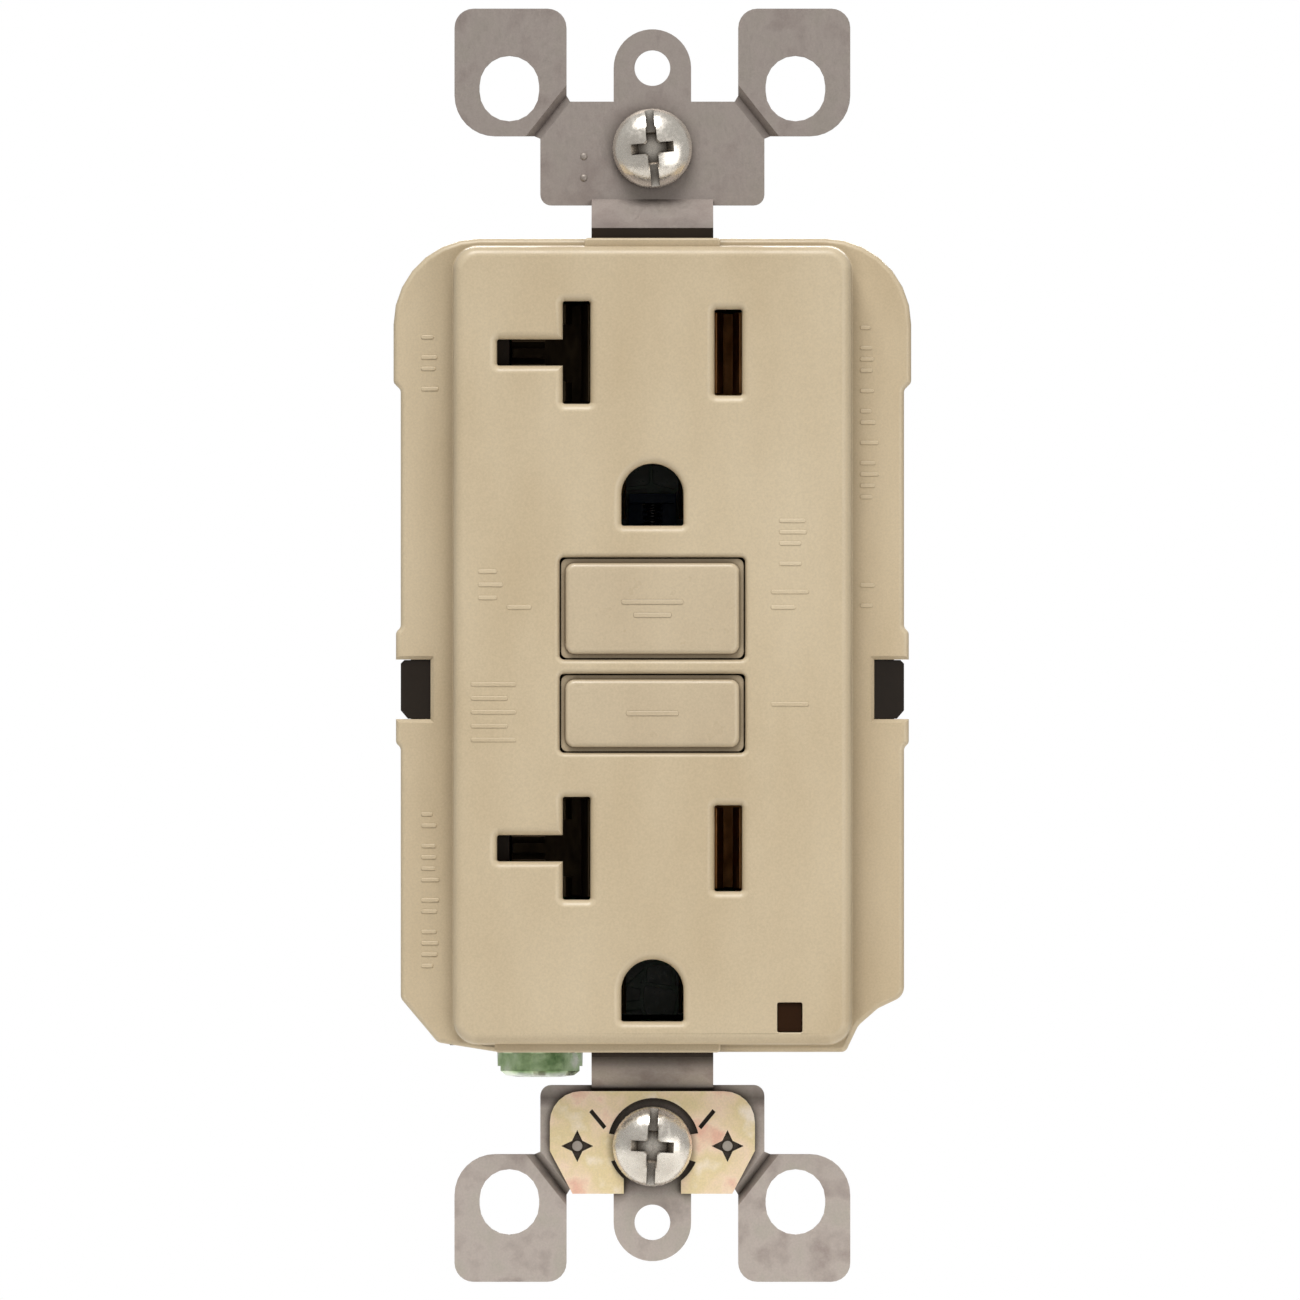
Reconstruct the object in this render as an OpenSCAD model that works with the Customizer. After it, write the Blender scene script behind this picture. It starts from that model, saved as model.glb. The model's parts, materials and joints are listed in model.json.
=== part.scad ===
// Duplex ground-fault receptacle, 20 A pattern, on a yoke strap with plaster ears.
// X is to the right, Y goes back into the wall and Z is up.
// The origin is on the wall plane, midway between the two box screws.

/* [Face] */
// Width of the raised face, which fills a decorator wall plate
face_w = 33.3; // [33:0.1:33.5]
// Height of the raised face
face_h = 66.8; // [66.6:0.1:67]
// How far the face stands in front of the wall plane
face_proud = 7.4; // [7.3:0.1:8]
// Thickness of the face and of the walls round it
face_wall = 1.8; // [1.7:0.1:1.9]

/* [Cover] */
// Width of the cover across its shoulders
cover_w = 42.2; // [42:0.1:42.4]
// Height of the cover
cover_h = 68.2; // [68:0.1:68.4]
// How far the widest part of the cover stands out past the shoulders, on each side
wing = 0.6; // [0.4:0.1:0.8]
// How far the shoulders stand in front of the wall plane
shoulder_proud = 2.8; // [2.6:0.1:3]

/* [Strap] */
// Thickness of the steel strap
strap_t = 1.3; // [1.2:0.1:1.4]
// Distance between the two screws that hold the strap to the box
box_screw_spacing = 83.34; // [83:0.01:83.6]
// Distance between the two holes that take the wall plate's screws
plate_screw_spacing = 96.84; // [96.6:0.01:97]
// How far the middle of the strap stands in front of its ends
strap_rise = 3.6; // [3.5:0.1:3.7]
// Overall height over the plaster ears
strap_h = 106.8; // [106.4:0.1:107.2]

/* [Sockets] */
// Distance between the line of the blades and the ground hole
ground_drop = 11.9; // [11.7:0.1:12.1]
// Distance between the two blades
blade_spacing = 12.7; // [12.5:0.1:12.9]
// Height of the upper socket's blades above the middle
upper_blades = 24.5; // [24.2:0.1:24.8]
// Distance between the two sockets
socket_pitch = 41.5; // [41.3:0.1:41.7]
// Width of a blade slot
slot_w = 2.3; // [2.1:0.1:2.4]

/* [Buttons] */
// Width of the two button openings
button_hole_w = 15.5; // [15.3:0.1:15.6]
// Gap round a button
button_gap = 0.4; // [0.3:0.05:0.5]
// Travel of the reset button, which the latch block follows
reset_travel = 2.0; // [1.6:0.1:2]
// Travel of the test button
test_travel = 1.5; // [1:0.1:1.5]

/* [Rear body] */
// How far the rear housing goes behind the wall plane
body_depth = 25.4; // [25.2:0.1:28]
// Width of the rear housing
body_w = 40.6; // [40.4:0.1:40.8]

/* [Terminals] */
// Height of the terminals above and below the middle
terminal_z = 17; // [16.9:0.1:17.1]
// Depth of the terminal screws behind the wall plane
terminal_y = 11.5; // [11.4:0.1:11.6]
// Radius of a back-wire hole
wire_r = 1.5; // [1.3:0.1:1.6]

/* [Hidden] */
$fn = 48;
hull_fn = 32;
fit = 0.1;
eps = 0.05;

// Planes across the depth, from the front to the back
face_y = -face_proud;
face_in_y = face_y + face_wall;
yoke_y = [-strap_rise - strap_t, -strap_rise];
tray_y = yoke_y[1] + 0.2;
shoulder_y = -shoulder_proud;
shoulder_in_y = shoulder_y + 1.6;
boss_end_y = 0.9;
flange_y = [1, 2.6];
skirt_y = 2.6;
rim_y = skirt_y + fit;
floor_y = body_depth - 2;
board_y = [20.4, 22];

// Outline of the cover
cover_wall = 1.5;
cover_corner_r = 7.2;
cover_corner_z = cover_h / 2 - cover_corner_r;
wing_foot_z = 22;
notch_z = [-6.2, -1.2];
notch_pad_z = [-8.2, 1.1];
notch_in_x = 18.6;

// Sockets
lower_blades = upper_blades - socket_pitch;
socket_z = [upper_blades, lower_blades];
blade_x = blade_spacing / 2;
neutral_slot_h = 8.6;
hot_slot_h = 7.2;
tee_reach = 13;
tee_slot_h = 2.2;
ground_hole_r = 2.6;
ground_foot = 2.6;
lead_in = 0.7;

// Buttons
reset_z = [-1.2, 7.35];
test_z = [-9, -2.4];
reset_mid = (reset_z[0] + reset_z[1]) / 2;
test_mid = (test_z[0] + test_z[1]) / 2;
button_proud = 0.2;
button_t = 2.4;
well_floor_y = -0.4;

// Indicator window, at the foot of the face
window_x = 11.5;
window_w = 2.1;
window_z = [-32.4, -29.9];

// Screws that close the case
case_screws = [[14.9, 30], [-14.9, 30], [14.9, -26.2], [-14.9, -26.2]];
case_boss_r = 3;
case_screw_seat_y = 12;
case_screw_end_y = -2;

// Strap
ear_x = [7.2, 16.6];
ear_foot = 42.7;
ear_hole = [12, 46.7];
waist_w = 18.8;
waist_z = [36.9, 45.6];
neck_w = 10.2;
lug_r = 3.25;
tapped_r = 1.5;
mount_slot = [4.2, 6.4];
bend_z = [33.7, 37.4];
rail_x = [8.4, 10.8];
tab_x = [-12.6, -6.3];
tab_z = [-33.8, -32.6];
ground_screw_x = -9.45;
ground_screw_y = 6.5;

// Terminals
terminal_plate_x = [17.8, 18.8];
clamp_x = [15.9, 17.1];
pocket_x = 13.7;
pocket_end_y = 18.5;
pocket_half = 5.6;
wire_x = 16.45;
wire_pitch = 7.2;
cavity_half = 12.9;
bay_half = 19.1;
bay_z = 9.4;

// Switch mechanism
bar_y = [7.6, 8.6];
bar_x = [blade_x - 2, blade_x + 2];
arm_y = [11.1, 11.5];
arm_z = [0.8, 17];
pin_r = 1.5;
groove_y = [13.2, 14];
groove_r = 0.9;
plunger_y = 14.9;
bobbin_z = [-22.5, -7];
plunger_z = [-25.4, -3.6];
core_mid_z = 23.2;
case_y = [11.9, 18.7];
link_y = [6.55, 7.55];
link_z = [-9.3, -7.2];

// ---------- Drawing helpers ----------

function arc(centre, r, from, to, steps = 6) =
    [for (i = [0:steps]) let (a = from + (to - from) * i / steps) centre + r * [cos(a), sin(a)]];

function round_rect(w, h, r) = concat(
    arc([w / 2 - r, h / 2 - r], r, 0, 90),
    arc([r - w / 2, h / 2 - r], r, 90, 180),
    arc([r - w / 2, r - h / 2], r, 180, 270),
    arc([w / 2 - r, r - h / 2], r, 270, 360));

function moved(points, by) = [for (p = points) p + by];

function flipped(points) = [for (p = points) [-p[0], p[1]]];

// A block between two corners, given as a range along each axis
module block(x, y, z) {
    translate([x[0], y[0], z[0]]) cube([x[1] - x[0], y[1] - y[0], z[1] - z[0]]);
}

// An outline in X and Z, extruded through a range of Y
module plate(y) {
    translate([0, y[1], 0]) rotate([90, 0, 0]) linear_extrude(y[1] - y[0]) children();
}

// An outline in Y and Z, extruded through a range of X
module prism_x(x) {
    translate([x[0], 0, 0]) rotate([90, 0, 90]) linear_extrude(x[1] - x[0]) children();
}

// An outline in X and Y, extruded through a range of Z
module prism_z(z) {
    translate([0, 0, z[0]]) linear_extrude(z[1] - z[0]) children();
}

module rod_x(r, x, y, z) {
    translate([x[0], y, z]) rotate([0, 90, 0]) cylinder(r = r, h = x[1] - x[0]);
}

module rod_y(r, y, x, z) {
    translate([x, y[0], z]) rotate([-90, 0, 0]) cylinder(r = r, h = y[1] - y[0]);
}

module rod_z(r, z, x, y) {
    translate([x, y, z[0]]) cylinder(r = r, h = z[1] - z[0]);
}

// The same thing on the other side of the middle
module both_sides() {
    children();
    mirror([1, 0, 0]) children();
}

module both_ends() {
    children();
    mirror([0, 0, 1]) children();
}

// A closed ring of round wire for each turn of a spring, joined by straight wires
module coil_spring(r, wire_r, length, turns) {
    pitch = (length - 2 * wire_r) / turns;
    for (i = [0:turns]) translate([0, 0, wire_r + i * pitch])
        rotate_extrude() translate([r, 0]) circle(r = wire_r, $fn = 16);
    for (i = [0:turns - 1]) rotate([0, 0, i * 120]) translate([r, 0, wire_r + i * pitch])
        cylinder(r = wire_r, h = pitch, $fn = 16);
}

// ---------- Case ----------

// Outline of the cover's shoulders, drawn in from the edge by d
function cover_outline(d) = let (
    w = cover_w / 2 - d, pad = w + 0.4, r = cover_corner_r - d,
    h = cover_h / 2 - d, wide = w + wing, cx = cover_w / 2 + wing - cover_corner_r) concat(
    [[wide, wing_foot_z]],
    arc([cx, cover_corner_z], r, 0, 90, 8),
    arc([-cx, cover_corner_z], r, 90, 180, 8),
    [[-wide, wing_foot_z], [-w, wing_foot_z - 0.6],
     [-w, notch_pad_z[1] + 0.4], [-pad, notch_pad_z[1]],
     [-pad, notch_pad_z[0]], [-w, notch_pad_z[0] - 0.4],
     [-w, 0.45 * d - 29.6], [-18 + 0.45 * d, d - 33.3], [-13, -h]],
    [[16.2 - 0.5 * d, -h]],
    arc([20.9 - d, -34 + d], 4.1, 160, 112, 5),
    [[w, -29.4 + 0.5 * d], [w, notch_pad_z[0] - 0.4], [pad, notch_pad_z[0]],
     [pad, notch_pad_z[1]], [w, notch_pad_z[1] + 0.4], [w, wing_foot_z - 0.6]]);

// A trapezium in Y and one other direction, wider by the lead-in at the face
function flare(span, chamfer) = [
    [face_y - eps, span[0] - chamfer - eps], [face_y - eps, span[1] + chamfer + eps],
    [face_y + chamfer, span[1]], [face_y + chamfer, span[0]]];

function swapped(points) = [for (p = points) [p[1], p[0]]];

// A blade slot or other straight opening through the face, with its lead-in chamfer
module face_opening(x, z, chamfer = lead_in) {
    block(x, [face_y - 1, shoulder_y], z);
    intersection() {
        prism_z([z[0] - 1, z[1] + 1]) polygon(swapped(flare(x, chamfer)));
        prism_x([x[0] - 1, x[1] + 1]) polygon(flare(z, chamfer));
    }
}

// A ground hole: round above and square below
module ground_opening(z) {
    r = ground_hole_r;
    rod_y(r, [face_y - 1, shoulder_y], 0, z);
    translate([0, face_y - eps, z]) rotate([-90, 0, 0])
        cylinder(r1 = r + lead_in + eps, r2 = r, h = lead_in + eps);
    block([-r, r], [face_y - 1, shoulder_y], [z - ground_foot, z]);
    intersection() {
        prism_z([z - ground_foot - 1, z]) polygon(swapped(flare([-r, r], lead_in)));
        prism_x([-r - 1, r + 1]) polygon(flare([z - ground_foot, z + 2], lead_in));
    }
}

module socket_openings(z) {
    face_opening([-blade_x - slot_w / 2, -blade_x + slot_w / 2],
        [z - neutral_slot_h / 2, z + neutral_slot_h / 2]);
    face_opening([-tee_reach, -blade_x], [z - tee_slot_h / 2, z + tee_slot_h / 2]);
    face_opening([blade_x - slot_w / 2, blade_x + slot_w / 2], [z - hot_slot_h / 2, z + hot_slot_h / 2]);
    ground_opening(z - ground_drop);
}

// The raised face, with its front edge rounded in two steps
module raised_face() {
    edge = 0.9;
    corner = 2;
    plate([face_y + edge - eps, shoulder_in_y]) polygon(round_rect(face_w, face_h, corner));
    hull() {
        for (step = [[0, edge], [0.12, 0.5], [0.5, 0.12], [edge, 0]])
            plate([face_y + step[0], face_y + step[0] + 0.02])
                polygon(round_rect(face_w - 2 * step[1], face_h - 2 * step[1], corner - step[1]));
    }
}

module front_cover() {
    tab_gap = [tab_x[0] - 0.3, neck_w / 2 + 0.2];
    brow_y = face_y + 1.2;
    color("wheat") difference() {
        union() {
            difference() {
                union() {
                    raised_face();
                    plate([shoulder_y, skirt_y]) polygon(cover_outline(0));
                }
                plate([face_in_y, shoulder_in_y])
                    polygon(round_rect(face_w - 2 * cover_wall, face_h - 2 * cover_wall, 1));
                plate([shoulder_in_y - eps, skirt_y + 1]) polygon(cover_outline(cover_wall));
            }
            // Brows that carry the shoulder across the strap's ways out
            block([-5.7, 5.7], [brow_y, yoke_y[0] - 0.6], [face_h / 2 - 0.5, cover_h / 2]);
            block([tab_gap[0] - 0.3, 5.7], [brow_y, yoke_y[0] - 0.2], [-cover_h / 2, 0.5 - face_h / 2]);
            for (p = case_screws) rod_y(2.4, [shoulder_in_y - eps, boss_end_y], p[0], p[1]);
            intersection() {
                for (p = case_screws) rod_y(2.4, [face_in_y - eps, shoulder_in_y], p[0], p[1]);
                block([-face_w / 2 + 0.5, face_w / 2 - 0.5], [face_in_y - 1, 0], [-32, 32]);
            }
        }
        for (z = socket_z) socket_openings(z);
        for (z = [reset_z, test_z])
            face_opening([-button_hole_w / 2, button_hole_w / 2], z, 0.2);
        block([window_x - window_w / 2, window_x + window_w / 2], [face_y - 1, skirt_y + 1], window_z);
        for (p = case_screws) rod_y(0.95, [case_screw_end_y - 0.6, 2], p[0], p[1]);
        // Ways out for the strap's necks and for its ground tab
        block([-neck_w / 2 - 0.2, neck_w / 2 + 0.2], [yoke_y[0] - 0.6, 4], [31, 36]);
        block(tab_gap, [yoke_y[0] - 0.2, 4], [-36, -31]);
        both_sides() block([notch_in_x, 23], [shoulder_y - 1, 4], notch_z);
    }
}

// Outline of the rear housing, drawn in from the cover's edge by d
function body_outline(d) = let (w = body_w / 2 - d, h = cover_h / 2 - 0.5 - d,
    r = cover_corner_r - 0.6 - d) concat(
    arc([w - r, h - r], r, 0, 90, 8),
    arc([r - w, h - r], r, 90, 180, 8),
    [[-w, -28.6], [-17 + d, -h], [15.2 - d, -h], [w, -28.6]]);

// A latch, which fills its notch and has its outer corners cut off
function latch_outline() = let (in = notch_in_x + 0.04, out = cover_w / 2,
    low = notch_z[0] + 0.04, high = notch_z[1] - 0.04) [
    [in, low], [out - 0.6, low], [out, low + 0.7], [out, high - 0.3], [out - 0.3, high], [in, high]];

// A pair of wire holes and the open pocket that holds one terminal
module terminal_space(side, z) {
    mirror([side < 0 ? 1 : 0, 0, 0]) {
        block([pocket_x, 23], [rim_y - 1, pocket_end_y], [z - pocket_half, z + pocket_half]);
        for (dz = [-wire_pitch / 2, wire_pitch / 2]) {
            rod_y(wire_r, [pocket_end_y - 1, body_depth + 1], wire_x, z + dz);
            translate([wire_x, body_depth - 0.7, z + dz]) rotate([-90, 0, 0])
                cylinder(r1 = wire_r, r2 = wire_r + 0.8, h = 0.8);
        }
    }
}

module rear_housing() {
    boss_x = [tab_x[0], tab_x[1]];
    color("dimgray") difference() {
        union() {
            difference() {
                union() {
                    plate([rim_y, 9]) polygon(body_outline(0));
                    plate([9 - eps, body_depth]) polygon(body_outline(0.5));
                }
                block([-cavity_half, cavity_half], [rim_y - 1, floor_y], [-31.6, 31.6]);
                block([-bay_half, bay_half], [rim_y - 1, floor_y], [-bay_z, bay_z]);
            }
            intersection() {
                for (p = case_screws) rod_y(case_boss_r, [rim_y, floor_y + eps], p[0], p[1]);
                plate([rim_y, body_depth]) polygon(body_outline(0.5));
            }
            // Pocket for the end of the ground screw
            block(boss_x, [rim_y, 11], [-32, -29.4]);
            // Latches that show in the cover's side notches
            both_sides() plate([shoulder_y + 0.4, rim_y + 1]) polygon(latch_outline());
            // Guide posts beside the latch block
            both_sides() block([9.2, 10.4], [9.4, floor_y + eps], [1, 5]);
        }
        for (side = [-1, 1], z = [-terminal_z, terminal_z]) terminal_space(side, z);
        for (p = case_screws) {
            rod_y(1.4, [rim_y - 1, case_screw_seat_y + 1], p[0], p[1]);
            rod_y(2.5, [case_screw_seat_y, body_depth + 1], p[0], p[1]);
        }
        rod_z(2.6, [-36, -30.4], ground_screw_x, ground_screw_y);
        block([tab_x[0] - 0.3, tab_x[1] + 0.3], [rim_y - 1, 10.8], [-36, tab_z[1] + 0.15]);
        both_sides() {
            // Ways in for the tails of the line and load terminals
            block([cavity_half - 1, 19.2], [pocket_end_y - 0.5, 20], [terminal_z - 1.4, terminal_z + 1.4]);
            block([17.5, 19.1], [rim_y - 1, 8], [-12, -bay_z + 1]);
        }
        // Gauge for the length of bare wire, and a plain label recess
        block([-1, 1], [body_depth - 0.4, body_depth + 1], [-9, 8]);
        plate([body_depth - 0.3, body_depth + 1]) polygon(moved(round_rect(18, 12, 1), [0, 20]));
    }
}

// A block from the tray to the contact strips, short of them by a gap
module jaw_well(x, z, half, gap) {
    block(x, [gap > 0 ? flange_y[1] - eps : tray_y - 1, bar_y[0] - gap], [z - half, z + half]);
}

// Tray between the strap and the rear housing, which holds the contacts
module middle_housing() {
    jaw_half = 4.7;
    tee_half = 2.3;
    lip_y = [yoke_y[0] - 0.45, yoke_y[0] - 0.05];
    color("darkslategray") difference() {
        union() {
            plate([tray_y, flange_y[0] + eps]) polygon(round_rect(29.2, 62.8, 1));
            intersection() {
                plate(flange_y) polygon(cover_outline(1.8));
                block([-18.5, 18.5], [0, 4], [-33, 33]);
            }
            // Wells round the contact jaws
            for (z = socket_z) {
                both_sides() jaw_well([bar_x[0] - 1, bar_x[1] + 1], z, jaw_half + 1, 0.1);
                jaw_well([0.1 - cavity_half, -bar_x[1]], z, tee_half + 0.7, 0.1);
            }
            // Bridge over the strap, with the lip that shows above the cover
            both_sides() block([5.4, 6.4], [lip_y[0], tray_y + eps], [30.3, 31.3]);
            block([-6.4, 6.4], lip_y, [30.3, 31.3]);
            block([-neck_w / 2, neck_w / 2], lip_y, [31.2, 34.95]);
        }
        for (z = socket_z) {
            both_sides() jaw_well([bar_x[0] - 0.2, bar_x[1] + 0.2], z, jaw_half, -1);
            jaw_well([0.9 - cavity_half, -bar_x[1]], z, tee_half, -1);
        }
        for (z = socket_z) {
            block([-3.3, 3.3], [tray_y - 1, 9], [z - ground_drop - 2.9, z - ground_drop + 2.9]);
            block([-6.8, 6.8], [tray_y - 1, -2.3], [z - ground_drop - 2.9, z - ground_drop + 2.9]);
        }
        // Wells under the two buttons, and the holes for the pin and the test stem
        block([-8.7, 8.7], [tray_y - 1, well_floor_y], [test_z[0] - 0.6, reset_z[1] + 0.6]);
        rod_y(pin_r + 0.08, [-2, 4], 0, reset_mid);
        rod_y(1.35, [-2, 4], 0, test_mid);
        for (p = case_screws) rod_y(1.5, [-4, 4], p[0], p[1]);
        for (p = case_screws) rod_y(2.6, [-4, flange_y[0]], p[0], p[1]);
        // Notches for the light pipe and the ground tab
        block([window_x - 1.4, window_x + 1.4], [tray_y - 1, 4], [-34, -29.6]);
        block([tab_x[0] - 0.3, tab_x[1] + 0.3], [tray_y - 1, 4], [-36, -32.2]);
    }
}

module assembly_screws() {
    color("silver") for (p = case_screws) difference() {
        union() {
            rod_y(1.2, [case_screw_end_y, case_screw_seat_y + 0.2], p[0], p[1]);
            rod_y(2.2, [case_screw_seat_y + 0.05, case_screw_seat_y + 1.8], p[0], p[1]);
        }
        for (turn = [0, 90]) translate([p[0], case_screw_seat_y + 1.8, p[1]]) rotate([0, turn, 0])
            cube([2.6, 1.6, 0.6], center = true);
        // The pilot in the cover is cut to the thread's core, so the tip is reduced to it
        difference() {
            rod_y(2, [case_screw_end_y - 1, boss_end_y + 0.05], p[0], p[1]);
            rod_y(0.9, [case_screw_end_y - 2, boss_end_y + 1], p[0], p[1]);
        }
    }
}

// ---------- Strap and grounding ----------

// One plaster ear, upper right
function ear_outline() = let (top = strap_h / 2, r = 1.6, foot_r = 3.4) concat(
    [[9.9, ear_foot], [ear_x[0], 46.1]],
    arc([ear_x[0] + r, top - r], r, 180, 90),
    arc([ear_x[1] - r, top - r], r, 90, 0),
    arc([ear_x[1] - foot_r, ear_foot + foot_r], foot_r, 0, -90, 8));

function waist_outline() = let (w = waist_w / 2, r = 0.9) concat(
    [[-w, 42.5], [-9.9, ear_foot], [-ear_x[0], 46.1], [-6.9, waist_z[1]],
     [6.9, waist_z[1]], [ear_x[0], 46.1], [9.9, ear_foot], [w, 42.5]],
    arc([w - r, waist_z[0] + r], r, 0, -90), arc([r - w, waist_z[0] + r], r, 270, 180));

function stadium(w, h) = w > h
    ? concat(arc([(w - h) / 2, 0], h / 2, -90, 90, 10), arc([(h - w) / 2, 0], h / 2, 90, 270, 10))
    : concat(arc([0, (h - w) / 2], w / 2, 0, 180, 10), arc([0, (w - h) / 2], w / 2, 180, 360, 10));

// The upper end of the strap: ears, waist, wall-plate lug and the bend down to the neck
module strap_end() {
    difference() {
        union() {
            plate([-strap_t, 0]) polygon(waist_outline());
            both_sides() plate([-strap_t, 0]) polygon(ear_outline());
            plate([-strap_t, 0]) translate([-lug_r, waist_z[1] - 1])
                square([2 * lug_r, plate_screw_spacing / 2 - waist_z[1] + 1]);
            rod_y(lug_r, [-strap_t, 0], 0, plate_screw_spacing / 2);
        }
        both_sides() {
            plate([-strap_t - 1, 1]) polygon(moved(stadium(5, 5.5), ear_hole));
            // Score lines, front and back, where the ear breaks off
            translate([8.55, -strap_t, 44.4]) rotate([0, 51.6, 0]) rotate([45, 0, 0])
                cube([6, 0.8, 0.8], center = true);
            translate([8.55, 0, 44.4]) rotate([0, 51.6, 0]) rotate([45, 0, 0])
                cube([6, 0.5, 0.5], center = true);
        }
        rod_y(tapped_r, [-strap_t - 1, 1], 0, plate_screw_spacing / 2);
        plate([-strap_t - 1, 1])
            polygon(moved(stadium(mount_slot[1], mount_slot[0]), [0, box_screw_spacing / 2]));
    }
    prism_x([-neck_w / 2, neck_w / 2]) polygon([[0, bend_z[1] - 0.8], [0, bend_z[1]], [-strap_t, bend_z[1]],
        [yoke_y[0], bend_z[0] + 0.8], [yoke_y[0], bend_z[0]], [yoke_y[1], bend_z[0]]]);
}

// The middle of the strap, which runs between the blade slots and round the buttons
module yoke() {
    narrow = 4.4;
    wide = 7.4;
    half = neck_w / 2;
    plate(yoke_y) difference() {
        union() {
            polygon([[-half, bend_z[0] + 0.4], [-half, 31], [-narrow, 30.2], [-narrow, 18.6], [-wide, 17.4],
                [-wide, 10], [-rail_x[1], 8.6], [-rail_x[1], -10.4], [-narrow, -11.4], [-narrow, -22.6],
                [-wide, -24], [-wide, -30.6], [-half, -31.4], [-half, -bend_z[0] - 0.4],
                [half, -bend_z[0] - 0.4], [half, -31.4], [wide, -30.6], [wide, -24], [narrow, -22.6],
                [narrow, -11.4], [rail_x[1], -10.4], [rail_x[1], 8.6], [wide, 10], [wide, 17.4],
                [narrow, 18.6], [narrow, 30.2], [half, 31], [half, bend_z[0] + 0.4]]);
            polygon([[tab_x[0], tab_z[0]], [tab_x[1], tab_z[0]], [tab_x[1] + 0.6, -30.6],
                [-wide + 1, -27.6], [-wide - 1, -27.6], [tab_x[0], -29.4]]);
        }
        translate([-rail_x[0], test_z[0] - 0.5]) square([2 * rail_x[0], reset_z[1] - test_z[0] + 1]);
        for (z = socket_z) translate([0, z - ground_drop]) {
            translate([-3.2, -3]) square([6.4, 6.2]);
            for (x = [-5.2, 5.2]) translate([x, 0]) circle(r = 0.85);
        }
    }
}

module mounting_strap() {
    color("darkgray") {
        strap_end();
        mirror([0, 0, 1]) strap_end();
        yoke();
        difference() {
            block(tab_x, [yoke_y[0], 10.4], tab_z);
            rod_z(2.06, [-36, -32], ground_screw_x, ground_screw_y);
        }
    }
}

// Spring jaws that grip a plug's ground pin, on a foot under the strap
module ground_contact(z) {
    foot_y = [yoke_y[1] + 0.05, yoke_y[1] + 0.55];
    color("goldenrod") translate([0, 0, z]) {
        difference() {
            block([-6.4, 6.4], foot_y, [-2.6, 2.6]);
            block([-2.7, 2.7], [foot_y[0] - 1, foot_y[1] + 1], [-3, 3]);
            for (x = [-5.2, 5.2]) rod_y(0.85, [foot_y[0] - 1, foot_y[1] + 1], x, 0);
        }
        both_sides() prism_z([-2, 2]) polygon([[2.7 + eps, foot_y[0]], [3.2, foot_y[0]], [3.2, 0],
            [2.8, 3.4], [3.1, 5], [2.6, 5.2], [2.2, 3.4], [2.6, 0]]);
    }
}

module ground_contact_rivets() {
    color("silver") for (z = socket_z, x = [-5.2, 5.2]) {
        rod_y(0.8, [yoke_y[0] - 0.4, yoke_y[1] + 0.9], x, z - ground_drop);
        rod_y(1.2, [yoke_y[0] - 0.5, yoke_y[0] - 0.03], x, z - ground_drop);
        rod_y(1.2, [yoke_y[1] + 0.6, yoke_y[1] + 0.95], x, z - ground_drop);
    }
}

clip_y = [-strap_t - 0.55, -strap_t - 0.05];
clip_rivet = [6.3, 42];
// The lower box screw hangs a little low in its slot
lower_screw_z = -box_screw_spacing / 2 - 0.35;

// Four-pointed star
function star(outer, inner) = [for (i = [0:7]) (i % 2 == 0 ? outer : inner) * [cos(45 * i), sin(45 * i)]];

// Spring plate that earths the strap through the lower box screw
module self_ground_clip() {
    w = 8.6;
    top = -37.4;
    foot = -46;
    color("burlywood") {
        difference() {
            plate(clip_y) polygon(concat(
                arc([w - 2.6, top - 2.6], 2.6, 0, 90), arc([2.6 - w, top - 2.6], 2.6, 90, 180),
                [[-w, foot + 3.6], [-6.7, foot], [6.7, foot], [w, foot + 3.6]]));
            rod_y(3.85, [-4, 1], 0.1, lower_screw_z + 0.2);
            block([-2.4, 2.4], [-4, 1], [foot - 1, lower_screw_z]);
            both_sides() {
                // Slits that free the tongue over the screw
                plate([-4, 1]) polygon([[3.85, -40.35], [4.1, -40.6], [5.3, -39.15], [5.05, -38.9]]);
                plate([-4, 1]) polygon(moved(star(1.35, 0.62), [clip_rivet[0], -clip_rivet[1]]));
            }
        }
        // Tongues that press on the sides of the screw
        both_sides() plate(clip_y) polygon([[1.95, lower_screw_z - 0.8], [1.95, lower_screw_z + 0.8],
            [4.6, lower_screw_z + 1.2], [4.6, lower_screw_z - 1.6]]);
    }
}

module clip_rivets() {
    color("dimgray") both_sides() {
        rod_y(0.44, [clip_y[0] + 0.25, clip_y[1] + 0.03], clip_rivet[0], -clip_rivet[1]);
    }
}

// ---------- Screws ----------

box_head_r = 3.35;
box_head_t = 2.35;
box_shank_r = 1.72;
// Plain neck between the head and the thread, inside the strap's slot
box_neck_r = 1.45;
box_thread_y = 0.9;
box_screw_end_y = 22;

// One of the two long screws that hold the strap to the box
module mounting_screw(z, seat, turn) {
    rim = seat - 1;
    top = seat - box_head_t;
    color("lightgray") translate([0, 0, z]) difference() {
        union() {
            rod_y(box_neck_r, [seat - eps, box_thread_y + eps], 0, 0);
            rod_y(box_shank_r, [box_thread_y, box_screw_end_y], 0, 0);
            rod_y(box_head_r, [rim, seat], 0, 0);
            translate([0, rim, 0]) rotate([90, 0, 0]) cylinder(r1 = box_head_r, r2 = 2.1, h = rim - top);
        }
        rotate([0, turn, 0]) {
            block([-0.4, 0.4], [top - 1, top + 0.9], [-3.8, 3.8]);
            block([-1.9, 1.9], [top - 1, top + 1.2], [-0.45, 0.45]);
            translate([0, top - eps, 0]) rotate([-90, 0, 0]) cylinder(r1 = 1.3, r2 = 0.5, h = 1.5);
        }
    }
}

module upper_mounting_screw() mounting_screw(box_screw_spacing / 2, -strap_t - 0.08, -8);
module lower_mounting_screw() mounting_screw(lower_screw_z, clip_y[0] - 0.08, 3);

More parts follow.
